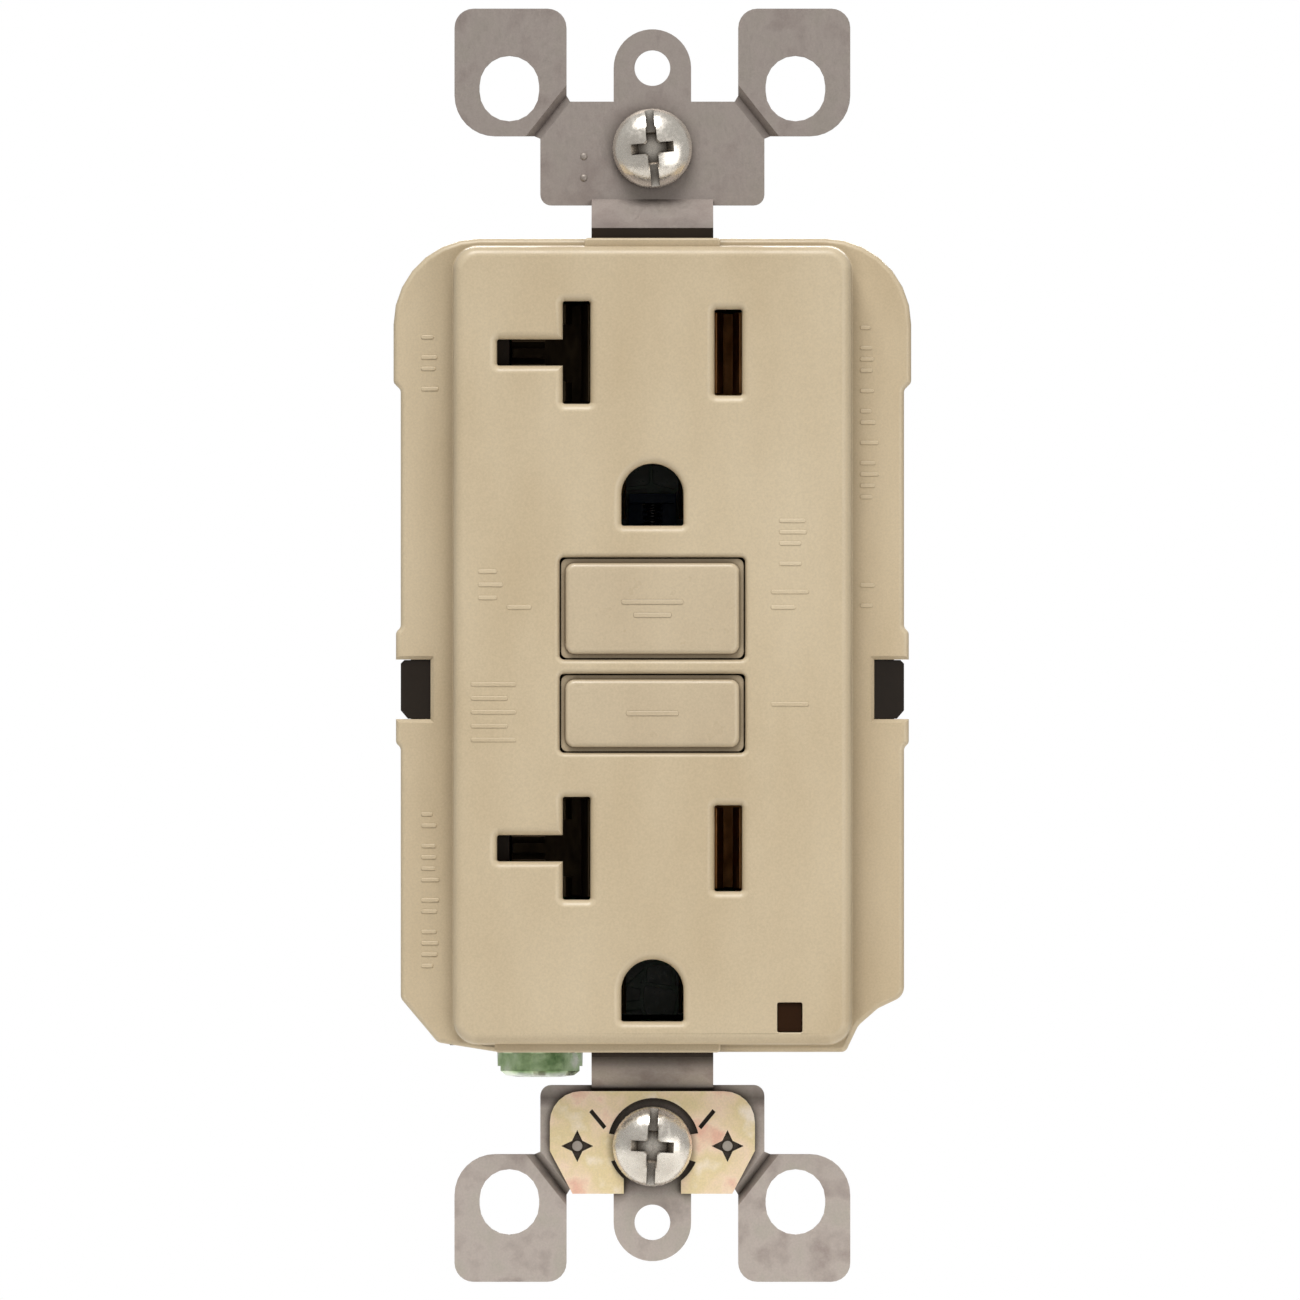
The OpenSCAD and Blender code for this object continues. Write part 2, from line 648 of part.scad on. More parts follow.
// Square washer behind the strap that keeps the upper screw in it
module screw_retainer() {
    mid = box_screw_spacing / 2;
    color("dimgray") difference() {
        block([-4, 4], [0.05, 0.65], [mid - 3.6, mid + 3.6]);
        rod_y(1.8, [-1, 2], 0, mid);
    }
}

// Hex-head ground screw in the strap's tab, pointing down
module ground_screw() {
    head_z = [-36.3, tab_z[0] - 0.1];
    color("seagreen") difference() {
        union() {
            rod_z(2, [head_z[1] - eps, -30.9], ground_screw_x, ground_screw_y);
            rod_z(3.62, head_z, ground_screw_x, ground_screw_y, $fn = 6);
        }
        block([ground_screw_x - 4, ground_screw_x + 4], [ground_screw_y - 0.5, ground_screw_y + 0.5],
            [head_z[0] - 1, head_z[0] + 1]);
    }
}

// ---------- Buttons ----------

// A button cap between two heights, with the lip that keeps it behind the face
module button_cap(z, travel) {
    half = button_hole_w / 2 - button_gap;
    lip = button_hole_w / 2 + 0.4;
    mid = (z[0] + z[1]) / 2;
    h = z[1] - z[0] - 2 * button_gap;
    plate([face_y - button_proud, face_y - button_proud + button_t])
        polygon(moved(round_rect(2 * half, h, 0.8), [0, mid]));
    // Step that closes most of the gap a little below the face
    plate([face_y + 0.5, face_in_y + 0.15])
        polygon(moved(round_rect(2 * half + button_gap, h + button_gap, 0.6), [0, mid]));
    plate([face_in_y + 0.1, face_in_y + 0.9]) polygon(moved(round_rect(2 * lip, h - 0.4, 0.4), [0, mid]));
}

module reset_button() {
    color("wheat") difference() {
        union() {
            button_cap(reset_z, reset_travel);
            rod_y(3, [face_in_y + 0.6, -4.4], 0, reset_mid);
        }
        rod_y(pin_r + 0.02, [-6.4, -3], 0, reset_mid);
    }
}

// Steel pin behind the reset button, with the groove that the latch plate holds
module reset_pin() {
    color("silver") difference() {
        union() {
            rod_y(pin_r, [-6.35, 14.8], 0, reset_mid);
            translate([0, 14.8, reset_mid]) rotate([-90, 0, 0]) cylinder(r1 = pin_r, r2 = 0.5, h = 1);
        }
        difference() {
            rod_y(pin_r + 1, groove_y, 0, reset_mid);
            rod_y(groove_r, [12, 15], 0, reset_mid);
        }
    }
}

module reset_spring() {
    color("silver") translate([0, well_floor_y - 0.05, reset_mid]) rotate([90, 0, 0])
        coil_spring(2.2, 0.25, well_floor_y - 0.1 + 4.4, 4);
}

module test_button() {
    color("wheat") {
        button_cap(test_z, test_travel);
        rod_y(1.2, [face_in_y + 0.4, 2.9], 0, test_mid);
    }
}

leaf_y = [3, 3.4];
leaf_root_x = -10.2;

// Spring leaf that the test button's stem bends on to its post
module test_leaf() {
    color("goldenrod") block([leaf_root_x, 3.8], leaf_y, [test_mid - 1.3, test_mid + 1.3]);
}

module test_leaf_base() {
    color("goldenrod") {
        block([-13.4, leaf_root_x - 0.2], leaf_y, [test_mid - 1.3, test_mid + 1.3]);
        block([-13.4, -12.8], [leaf_y[0], board_y[0] - 0.05], [test_mid - 1.3, test_mid + 1.3]);
    }
}

module test_post() {
    color("silver") {
        rod_y(0.45, [6, board_y[0] - 0.05], 3, test_mid);
        rod_y(0.8, [5.75, 6.15], 3, test_mid);
    }
}

module light_pipe() {
    x = [window_x - window_w / 2 + 0.05, window_x + window_w / 2 - 0.05];
    color("honeydew") {
        block(x, [face_y + 0.3, rim_y - 0.2], [window_z[0] + 0.05, window_z[1] - 0.05]);
        block(x, [rim_y - 0.2 - eps, 19], [-31.4, window_z[1] - 0.05]);
    }
}

// ---------- Contacts ----------

// Half of a blade jaw in X and Y, around a blade at x = 0
function jaw_leaf(y_foot) = [[2, y_foot], [2, 2], [0.95, -0.8], [1.5, -2.8], [0.95, -2.9],
    [0.4, -0.9], [1.4, 2.1], [1.4, y_foot]];

module contact_strip(x, foot) {
    block(x, bar_y, [lower_blades - foot, upper_blades + foot]);
}

module hot_contact_bar() {
    color("goldenrod") {
        contact_strip(bar_x, 3.4);
        for (z = socket_z) translate([blade_x, 0, 0]) prism_z([z - 3.4, z + 3.4]) {
            polygon(jaw_leaf(bar_y[0] + eps));
            polygon(flipped(jaw_leaf(bar_y[0] + eps)));
        }
    }
}

// The neutral side takes an upright or a level blade, so its jaws are split in a tee
module neutral_contact_bar() {
    color("silver") {
        contact_strip([-bar_x[1], -bar_x[0]], 4.1);
        for (z = socket_z) {
            block([-11.8, -bar_x[1] + eps], bar_y, [z - 2.2, z + 2.2]);
            translate([-blade_x, 0, 0]) {
                prism_z([z - 4.1, z + 4.1]) polygon(jaw_leaf(bar_y[0] + eps));
                for (part = [[-4.1, -2.4], [2.4, 4.1]]) prism_z([z + part[0], z + part[1]])
                    polygon(flipped(jaw_leaf(bar_y[0] + eps)));
            }
            for (flip = [1, -1]) translate([0, 0, z]) prism_x([-11.8, -9])
                polygon([for (p = jaw_leaf(bar_y[0] + eps)) [p[1], flip * p[0]]]);
        }
    }
}

module contact_bar_rivets() {
    color("silver") both_sides() rod_y(0.7, [link_y[0] - 0.5, link_y[0] - 0.03], blade_x,
        (link_z[0] + link_z[1]) / 2);
}

module fixed_contacts() {
    color("gainsboro") both_sides() rod_y(1.6, [bar_y[1] + 0.02, 9.95], blade_x - 0.1, reset_mid);
}

module contact_arm() {
    color("darkgoldenrod") block([4.2, 8.2], arm_y, arm_z);
}

module moving_contact() {
    color("gainsboro") rod_y(1.5, [10, arm_y[0] - 0.01], blade_x - 0.1, reset_mid);
}

// ---------- Terminals ----------

module terminal_plate(z) {
    difference() {
        block(terminal_plate_x, [5.6, 17.6], [z - 5.4, z + 5.4]);
        rod_x(2.3, [17, 20], terminal_y, z);
    }
}

// The line terminal's tail runs under the coils, up through them and on to the contact arm
module line_terminal() {
    z = terminal_z;
    up_z = [core_mid_z - 1.1, core_mid_z + 1.1];
    tail_y = [19, 19.8];
    terminal_plate(z);
    block([terminal_plate_x[0], terminal_plate_x[1]], [17.6 - eps, tail_y[1]], [z - 1.2, z + 1.2]);
    block([0.6, terminal_plate_x[1]], tail_y, [z - 1.2, z + 1.2]);
    block([0.6, 2.6], tail_y, [z - 1.2, up_z[1]]);
    block([0.6, 2.6], [arm_y[0], tail_y[1]], up_z);
    block([0.6, 8.2], [arm_y[0], arm_y[0] + 0.6], up_z);
    block([4.2, 8.2], [arm_y[0], arm_y[0] + 0.6], [arm_z[1] + 0.2, up_z[1]]);
}

// The load terminal's link laps over the contact strip
module load_terminal() {
    z = -terminal_z;
    difference() {
        union() {
            terminal_plate(z);
            block(terminal_plate_x, [5.6, link_y[1]], [z + 5.4 - eps, link_z[1]]);
            block([4.6, terminal_plate_x[1]], link_y, link_z);
        }
    }
}

module terminal_screw(z) {
    head = [terminal_plate_x[1] + 0.05, 21];
    difference() {
        union() {
            rod_x(2, [pocket_x + 0.4, head[0] + eps], terminal_y, z);
            rod_x(4.1, head, terminal_y, z);
        }
        block([head[1] - 0.9, head[1] + 1], [terminal_y - 0.5, terminal_y + 0.5], [z - 5, z + 5]);
        block([head[1] - 1.1, head[1] + 1], [terminal_y - 2.2, terminal_y + 2.2], [z - 0.5, z + 0.5]);
    }
}

module clamp_plate(z) {
    difference() {
        block(clamp_x, [6.4, 16.8], [z - 5.2, z + 5.2]);
        rod_x(2.06, [14, 19], terminal_y, z);
    }
}

module line_hot_terminal() color("goldenrod") line_terminal();
module line_neutral_terminal() color("silver") mirror([1, 0, 0]) line_terminal();
module load_hot_terminal() color("goldenrod") load_terminal();
module load_neutral_terminal() color("silver") mirror([1, 0, 0]) load_terminal();
module line_hot_screw() color("goldenrod") terminal_screw(terminal_z);
module line_neutral_screw() color("silver") mirror([1, 0, 0]) terminal_screw(terminal_z);
module load_hot_screw() color("goldenrod") terminal_screw(-terminal_z);
module load_neutral_screw() color("silver") mirror([1, 0, 0]) terminal_screw(-terminal_z);
module line_hot_clamp() color("goldenrod") clamp_plate(terminal_z);
module line_neutral_clamp() color("silver") mirror([1, 0, 0]) clamp_plate(terminal_z);
module load_hot_clamp() color("goldenrod") clamp_plate(-terminal_z);
module load_neutral_clamp() color("silver") mirror([1, 0, 0]) clamp_plate(-terminal_z);

// ---------- Latch ----------

plate_slot_y = [groove_y[0], groove_y[1]];

// Block that lifts the contact arms while the latch plate ties it to the pin
module latch_block() {
    wing_front = arm_y[1] + 0.15;
    color("steelblue") difference() {
        union() {
            block([-3.4, 3.4], [6, 16], [reset_mid - 4.5, reset_mid + 4.5]);
            block([-8.6, 8.6], [wing_front, wing_front + 2.2], [reset_mid - 1, reset_mid + 1]);
            block([-2, 2], [15.9, 16.7], [reset_mid, 12.8]);
            block([-2, 2], [14.1, 16.7], [12, 12.8]);
        }
        rod_y(pin_r + 0.1, [5, 18], 0, reset_mid);
        block([-2.4, 2.4], plate_slot_y, [reset_mid - 6, reset_mid + 6]);
    }
}

// Keyhole plate: its narrow end sits in the pin's groove until the plunger pushes it up
module latch_plate() {
    t = [plate_slot_y[0] + 0.1, plate_slot_y[1] - 0.1];
    throw = 1.1;
    color("lightsteelblue") {
        difference() {
            block([-2.2, 2.2], t, [-3.4, 9.3]);
            rod_y(groove_r + 0.1, [12, 15], 0, reset_mid);
            block([-groove_r - 0.1, groove_r + 0.1], [12, 15], [reset_mid - throw, reset_mid]);
            rod_y(pin_r + 0.1, [12, 15], 0, reset_mid - throw);
        }
        block([-2.2, 2.2], [t[0], 16.2], [-3.4, -2.8]);
        block([-1.4, 1.4], [t[0], 15.8], [8.8, 9.3]);
    }
}

module latch_spring() {
    color("silver") translate([0, 15, 9.35]) coil_spring(0.7, 0.12, 2.6, 5);
}

// ---------- Solenoid ----------

module solenoid_bobbin() {
    flange_x = [-5.4, 5.4];
    flange_y = [9.6, 20.2];
    color("ivory") difference() {
        union() {
            block(flange_x, flange_y, [bobbin_z[0], bobbin_z[0] + 0.8]);
            block(flange_x, flange_y, [bobbin_z[1] - 0.8, bobbin_z[1]]);
            rod_z(2.5, [bobbin_z[0], bobbin_z[1]], 0, plunger_y);
        }
        rod_z(2, [bobbin_z[0] - 1, bobbin_z[1] - 1.2], 0, plunger_y);
        rod_z(0.95, [bobbin_z[0], bobbin_z[1] + 1], 0, plunger_y);
    }
}

module solenoid_coil() {
    color("peru") difference() {
        rod_z(5.1, [bobbin_z[0] + 0.85, bobbin_z[1] - 0.85], 0, plunger_y);
        rod_z(2.53, [bobbin_z[0], bobbin_z[1]], 0, plunger_y);
    }
}

module plunger() {
    color("silver") {
        rod_z(1.92, [plunger_z[0] + 0.7, -9.7], 0, plunger_y);
        rod_z(0.85, [-9.8, plunger_z[1]], 0, plunger_y);
        rod_z(2.7, [plunger_z[0], plunger_z[0] + 0.8], 0, plunger_y);
    }
}

module plunger_spring() {
    color("silver") translate([0, plunger_y, plunger_z[0] + 0.85])
        coil_spring(2.25, 0.15, bobbin_z[0] - plunger_z[0] - 0.9, 2);
}

// ---------- Current transformers ----------

module ring(outer, inner, y) {
    difference() {
        rod_y(outer, y, 0, core_mid_z);
        rod_y(inner, [y[0] - 1, y[1] + 1], 0, core_mid_z);
    }
}

module transformer_case() {
    color("whitesmoke") {
        ring(8, 7.4, case_y);
        ring(3.9, 3.4, case_y);
        ring(8, 3.4, [case_y[0], case_y[0] + 0.5]);
        ring(8, 3.4, [case_y[1] - 0.5, case_y[1]]);
    }
}

module sense_coil() color("peru") ring(7.3, 4, [12.5, 15.2]);
module neutral_coil() color("sienna") ring(7.3, 4, [15.4, 18.1]);

// ---------- Circuit board ----------

module circuit_board() {
    color("darkgreen") difference() {
        union() {
            block([-12.7, 12.7], board_y, [-31.3, 31.2]);
            block([-18.2, 18.2], board_y, [-8.8, 8.8]);
        }
        both_sides() block([9.1, 10.5], [board_y[0] - 1, board_y[1] + 1], [0.9, 5.1]);
        for (p = case_screws) rod_y(case_boss_r + 0.3, [board_y[0] - 1, board_y[1] + 1], p[0], p[1]);
    }
}

module control_chip() {
    color("black") block([-3.4, 2.2], [18.9, board_y[0] - 0.05], [-5.9, -2]);
}

module varistor() {
    color("royalblue") {
        rod_z(3.2, [-28.4, -25.2], 7.4, 16.4);
        for (x = [5.6, 9.2]) rod_y(0.35, [18, board_y[0] - 0.05], x, -26.8);
    }
}

module capacitors() {
    color("orange") {
        block([-10.6, -6], [14.4, board_y[0] - 0.05], [-29.4, -25.4]);
        block([7, 11.6], [15.6, board_y[0] - 0.05], [-22, -18.6]);
        block([-12, -9.8], [17, board_y[0] - 0.05], [8.2, 12.2]);
    }
}

module resistors() {
    color("tan") {
        for (z = [-22.4, -19.6, -16.8, -14]) rod_x(0.8, [-12, -7], 19.4, z);
        for (x = [12.4, 14.8, 17]) rod_z(0.8, [-7, -2], x, 19.4);
    }
}

module diodes() {
    color("black") for (z = [-15.6, -12.8, -10]) rod_x(0.9, [7, 11.6], 19.3, z);
}

module thyristor() {
    color("black") difference() {
        rod_y(2.4, [15.6, board_y[0] - 0.6], -16.2, -5.6);
        block([-19, -13], [15, 21], [-10, -7]);
    }
}

module indicator_led() {
    color("white") block([window_x - 0.9, window_x + 0.9], [19.2, board_y[0] - 0.05], [-31.2, -30]);
}

front_cover();
middle_housing();
rear_housing();
assembly_screws();
mounting_strap();
ground_contact(upper_blades - ground_drop);  // upper_ground_contact
ground_contact(lower_blades - ground_drop);  // lower_ground_contact
ground_contact_rivets();
self_ground_clip();
clip_rivets();
upper_mounting_screw();
lower_mounting_screw();
screw_retainer();
ground_screw();
reset_button();
reset_pin();
reset_spring();
test_button();
test_leaf();
test_leaf_base();
test_post();
light_pipe();
hot_contact_bar();
neutral_contact_bar();
contact_bar_rivets();
fixed_contacts();
line_hot_terminal();
line_neutral_terminal();
load_hot_terminal();
load_neutral_terminal();
line_hot_screw();
line_neutral_screw();
load_hot_screw();
load_neutral_screw();
line_hot_clamp();
line_neutral_clamp();
load_hot_clamp();
load_neutral_clamp();
contact_arm();  // hot_contact_arm
mirror([1, 0, 0]) contact_arm();  // neutral_contact_arm
moving_contact();  // hot_moving_contact
mirror([1, 0, 0]) moving_contact();  // neutral_moving_contact
latch_block();
latch_plate();
latch_spring();
solenoid_bobbin();
solenoid_coil();
plunger();
plunger_spring();
transformer_case();
sense_coil();
neutral_coil();
circuit_board();
control_chip();
varistor();
capacitors();
resistors();
diodes();
thyristor();
indicator_led();
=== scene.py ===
"""Looks of a ground-fault receptacle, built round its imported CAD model.

Lengths in this script are in millimetres in the row frame and become metres when a mesh is made.
X is to the right, Y goes back into the wall and Z is up.
"""

import json
import math
import random

import bmesh
import bpy
from mathutils import Matrix, Vector, geometry

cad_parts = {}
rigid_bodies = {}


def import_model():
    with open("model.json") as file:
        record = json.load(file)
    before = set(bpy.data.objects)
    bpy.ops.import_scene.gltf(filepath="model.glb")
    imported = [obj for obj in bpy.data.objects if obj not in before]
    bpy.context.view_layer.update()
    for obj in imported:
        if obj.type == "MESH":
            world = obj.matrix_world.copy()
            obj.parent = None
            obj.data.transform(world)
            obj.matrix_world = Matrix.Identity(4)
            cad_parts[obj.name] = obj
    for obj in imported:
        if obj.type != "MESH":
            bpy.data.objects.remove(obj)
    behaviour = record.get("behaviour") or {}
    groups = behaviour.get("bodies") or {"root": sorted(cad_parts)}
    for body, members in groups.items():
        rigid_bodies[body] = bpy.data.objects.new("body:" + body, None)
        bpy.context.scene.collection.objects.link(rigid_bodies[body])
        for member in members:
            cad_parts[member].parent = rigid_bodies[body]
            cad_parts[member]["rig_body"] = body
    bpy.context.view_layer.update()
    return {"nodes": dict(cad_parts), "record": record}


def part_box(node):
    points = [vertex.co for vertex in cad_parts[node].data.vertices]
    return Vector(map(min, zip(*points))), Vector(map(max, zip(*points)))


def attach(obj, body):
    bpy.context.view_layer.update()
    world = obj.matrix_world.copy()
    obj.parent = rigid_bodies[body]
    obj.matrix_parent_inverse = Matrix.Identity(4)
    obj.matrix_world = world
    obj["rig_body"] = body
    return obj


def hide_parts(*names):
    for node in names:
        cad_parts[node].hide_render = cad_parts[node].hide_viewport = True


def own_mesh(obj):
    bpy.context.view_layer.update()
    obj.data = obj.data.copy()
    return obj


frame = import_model()
MM = 0.001
NODE_BODY = {n: o["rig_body"] for n, o in frame["nodes"].items()}
SLOTS = {part["node"]: part["material_slot"] for part in frame["record"]["subparts"]}


# ---------- Materials ----------


def linear(rgb):
    """A colour given as it looks on screen, 0 to 255, as shader values."""
    out = []
    for c in rgb:
        c /= 255
        out.append(c / 12.92 if c <= 0.04045 else ((c + 0.055) / 1.055) ** 2.4)
    return (*out, 1)


class Nodes:
    """A short way to add shader nodes and link them."""

    def __init__(self, name):
        self.mat = bpy.data.materials.new(name)
        self.mat.use_nodes = True
        self.tree = self.mat.node_tree
        self.tree.nodes.clear()
        self.shader = self.add("ShaderNodeBsdfPrincipled")
        out = self.add("ShaderNodeOutputMaterial")
        self.link(self.shader.outputs[0], out.inputs[0])
        self.coord = self.add("ShaderNodeTexCoord").outputs["Object"]

    def add(self, kind, **props):
        node = self.tree.nodes.new(kind)
        for key, value in props.items():
            setattr(node, key, value)
        return node

    def link(self, a, b):
        self.tree.links.new(a, b)

    def noise(self, scale, detail, stretch=None):
        """Noise with this many features to the millimetre."""
        node = self.add("ShaderNodeTexNoise")
        node.inputs["Scale"].default_value = scale / MM
        node.inputs["Detail"].default_value = detail
        source = self.coord
        if stretch:
            mapping = self.add("ShaderNodeMapping")
            mapping.inputs["Scale"].default_value = stretch
            self.link(self.coord, mapping.inputs["Vector"])
            source = mapping.outputs[0]
        self.link(source, node.inputs["Vector"])
        return node.outputs["Fac"]

    def ramp(self, source, stops):
        node = self.add("ShaderNodeValToRGB")
        band = node.color_ramp
        while len(band.elements) < len(stops):
            band.elements.new(0.5)
        for element, (place, colour) in zip(band.elements, stops):
            element.position = place
            element.color = colour
        self.link(source, node.inputs[0])
        return node.outputs[0]

    def spread(self, source, low, high, start=0.3, end=0.7):
        node = self.add("ShaderNodeMapRange")
        node.inputs["From Min"].default_value = start
        node.inputs["From Max"].default_value = end
        node.inputs["To Min"].default_value = low
        node.inputs["To Max"].default_value = high
        self.link(source, node.inputs["Value"])
        return node.outputs[0]

    def mix(self, factor, a, b, mode="MIX"):
        node = self.add("ShaderNodeMix", data_type="RGBA", blend_type=mode)
        for value, socket in ((factor, node.inputs[0]), (a, node.inputs[6]), (b, node.inputs[7])):
            if isinstance(value, bpy.types.NodeSocket):
                self.link(value, socket)
            else:
                socket.default_value = value
        return node.outputs[2]

    def bump(self, layers):
        """Layers of (height source, depth in mm), each added to the last."""
        last = None
        for source, depth in layers:
            node = self.add("ShaderNodeBump")
            node.inputs["Strength"].default_value = 1
            node.inputs["Distance"].default_value = depth * MM
            self.link(source, node.inputs["Height"])
            if last:
                self.link(last, node.inputs["Normal"])
            last = node.outputs[0]
        self.link(last, self.shader.inputs["Normal"])

    def set(self, **values):
        names = {"metal": "Metallic", "specular": "Specular IOR Level", "coat": "Coat Weight",
                 "coat_rough": "Coat Roughness"}
        for key, value in values.items():
            self.shader.inputs[names[key]].default_value = value


def finish_colour(n, colour, dust, amount):
    """The colour with fine specks and a rim of wear or dust on its edges."""
    specks = n.spread(n.noise(6, 2), 0.94, 1.04)
    grey = n.add("ShaderNodeCombineColor")
    for i in range(3):
        n.link(specks, grey.inputs[i])
    shaded = n.mix(1.0, colour, grey.outputs[0], "MULTIPLY")
    worn = n.add("ShaderNodeAttribute", attribute_name="wear").outputs["Fac"]
    edge = n.spread(worn, 0, amount, 0.1, 1)
    n.link(n.mix(edge, shaded, dust), n.shader.inputs["Base Color"])


def hollows(n, colour, painted_shade, amount, reach):
    """The colour with painted shade in hollows that are up to reach millimetres across, where ambient occlusion
    is low.
    """
    hollow = n.add("ShaderNodeAmbientOcclusion")
    hollow.inputs["Distance"].default_value = reach * MM
    painted_shade_mask = n.spread(hollow.outputs["AO"], amount, 0, 0.4, 0.92)
    return n.mix(painted_shade_mask, colour, painted_shade)


def plastic(name, low, high, rough, grain=0.004, coat=0.0, specular=0.45, painted_shade=0.0, reach=0.7):
    """Moulded plastic: faint flow marks, fine grain, slightly polished edges and painted shade in hollows."""
    n = Nodes(name)
    flow = n.noise(0.12, 4, (1, 1, 0.35))
    colour = n.ramp(flow, [(0.3, linear(low)), (0.7, linear(high))])
    # Painted shade in hollows, in a darker brown of the plastic
    if painted_shade:
        colour = hollows(n, colour, linear([low[0] * 0.5, low[1] * 0.45, low[2] * 0.36]), painted_shade, reach)
    finish_colour(n, colour, linear([min(255, c + 14) for c in high]), 0.35)
    n.link(n.spread(n.noise(0.5, 4), rough - 0.06, rough + 0.06), n.shader.inputs["Roughness"])
    n.bump([(n.noise(0.35, 2), grain * 2), (n.noise(9, 2), grain)])
    n.set(specular=specular, coat=coat, coat_rough=0.25)
    return n.mat


def metal(name, colours, rough, mottle, brushed=(1, 1, 1), scratch=0.002, edge=30, shine=1.0,
          painted_shade=0.0, painted_top_shade=0.0, reach=0.9, bands=()):
    """Stamped or plated metal: patchy plating, rolled grain, scratches, worn edges and painted shade in
    hollows.

    The top-shade share is painted shade that leaves the plating lighter toward the bottom and darker toward the
    top.
    With it, bands are (height in mm, share) pairs of painted shadow that follows the height.
    """
    n = Nodes(name)
    patches = n.noise(mottle, 5)
    # The colour of the painted shade, a dark brown of the plating, for hollows and for the height bands
    dark = linear([c * share for c, share in zip(colours[0], (0.27, 0.22, 0.16))])
    places = [0.3 + 0.4 * i / (len(colours) - 1) for i in range(len(colours))]
    stops = [(p, linear(c)) for p, c in zip(places, colours)]
    worn = linear([max(0, min(255, c + edge)) for c in colours[-1]])
    plating = n.ramp(patches, stops)
    # Painted shade in hollows
    if painted_shade:
        plating = hollows(n, plating, dark, painted_shade, reach)
    # Painted shade: the plating darker toward the top and lighter toward the bottom
    if painted_top_shade:
        height = n.add("ShaderNodeSeparateXYZ")
        n.link(n.coord, height.inputs[0])
        top_shade_mask = n.spread(height.outputs["Z"], 0, painted_top_shade, -0.04, 0.04)
        plating = n.mix(top_shade_mask, plating, linear([c * 0.8 for c in colours[0]]))
        span = 54
        # Painted shadow in bands that follow the height
        shares = [((z + span) / (2 * span), (share, share, share, 1)) for z, share in bands]
        place = n.spread(height.outputs["Z"], 0, 1, -span * MM, span * MM)
        plating = n.mix(n.ramp(place, shares), plating, dark)
    finish_colour(n, plating, worn, 0.7 if edge > 0 else 0.5)
    grain = n.noise(3, 3, brushed)
    n.link(n.spread(grain, rough - 0.08, rough + 0.1), n.shader.inputs["Roughness"])
    n.bump([(n.noise(0.6, 3), scratch * 2), (grain, scratch)])
    n.set(metal=shine)
    return n.mat


def winding(name, colour, dark):
    """Enamelled wire: glossy varnish over copper."""
    n = Nodes(name)
    tone = n.ramp(n.noise(1.2, 3), [(0.3, linear(dark)), (0.7, linear(colour))])
    finish_colour(n, tone, linear(colour), 0.3)
    n.link(n.spread(n.noise(2, 2), 0.25, 0.4), n.shader.inputs["Roughness"])
    n.bump([(n.noise(4, 2), 0.004)])
    n.set(metal=0.85, coat=0.6, coat_rough=0.15)
    return n.mat


def board(name):
    """Green solder mask over copper traces, on glass-epoxy."""
    n = Nodes(name)
    mapping = n.add("ShaderNodeMapping")
    mapping.inputs["Scale"].default_value = (0.42 / MM, 0.42 / MM, 0.42 / MM)
    n.link(n.coord, mapping.inputs["Vector"])
    bricks = n.add("ShaderNodeTexVoronoi", feature="DISTANCE_TO_EDGE", distance="EUCLIDEAN")
    bricks.inputs["Scale"].default_value = 1
    bricks.inputs["Randomness"].default_value = 0.55
    n.link(mapping.outputs[0], bricks.inputs["Vector"])
    traces = n.spread(bricks.outputs["Distance"], 1, 0, 0.05, 0.07)
    mask = n.ramp(n.noise(0.6, 3), [(0.3, linear((14, 74, 38))), (0.7, linear((20, 92, 48)))])
    finish_colour(n, n.mix(traces, mask, linear((34, 122, 62))), linear((150, 160, 110)), 0.5)
    n.link(n.spread(n.noise(2, 2), 0.25, 0.4), n.shader.inputs["Roughness"])
    n.bump([(traces, 0.03), (n.noise(3, 2), 0.005)])
    n.set(coat=0.3, coat_rough=0.2)
    return n.mat


# Each material's shade share and reach, in millimetres, paint shade into its hollows
IVORY = plastic("ivory_moulding", (196, 177, 145), (208, 191, 161), 0.36, painted_shade=0.4, reach=1.6)
IVORY_KEY = plastic("ivory_button", (194, 176, 147), (204, 187, 158), 0.32, painted_shade=1.0, reach=0.9)
DARK = plastic("dark_nylon_moulding", (30, 21, 11), (44, 32, 19), 0.55, specular=0.2)
BLACK = plastic("black_moulding", (25, 18, 11), (38, 29, 20), 0.45, specular=0.25)
WHITE = plastic("white_nylon_moulding", (212, 209, 198), (226, 222, 210), 0.45)
BLUE = plastic("blue_nylon_moulding", (46, 80, 122), (60, 96, 140), 0.45)
EPOXY = plastic("black_epoxy", (14, 14, 15), (30, 30, 31), 0.5, 0.01)
VARISTOR = plastic("blue_dipped_epoxy", (24, 52, 138), (40, 74, 166), 0.3, 0.012, 0.4)
CAPACITOR = plastic("orange_dipped_epoxy", (196, 88, 24), (220, 112, 38), 0.28, 0.01, 0.5)
RESISTOR = plastic("tan_ceramic_body", (186, 160, 118), (206, 182, 140), 0.4, 0.006, 0.3)
LENS = plastic("smoked_lens", (38, 20, 6), (50, 29, 12), 0.6, 0.001, specular=0.08)
FIBRE = plastic("red_fibre", (92, 36, 26), (116, 50, 36), 0.7, 0.02)
ROLLED = (1, 1, 0.25)  # Stretches the grain along Z
# Painted shadow on the strap: dark where its necks leave the cover and over the clip, as (height, share)
STRAP_PAINTED_SHADE = [(-38.5, 0), (-38.3, 0.8), (-37.6, 0.5), (-37.0, 0.25), (-36.0, 0.2), (-35.3, 0.5), (-34.8, 0.92),
               (-34.0, 1), (-32.5, 0), (32.5, 0), (34.0, 0.9), (34.6, 0.6), (35.0, 0.2), (35.8, 0)]
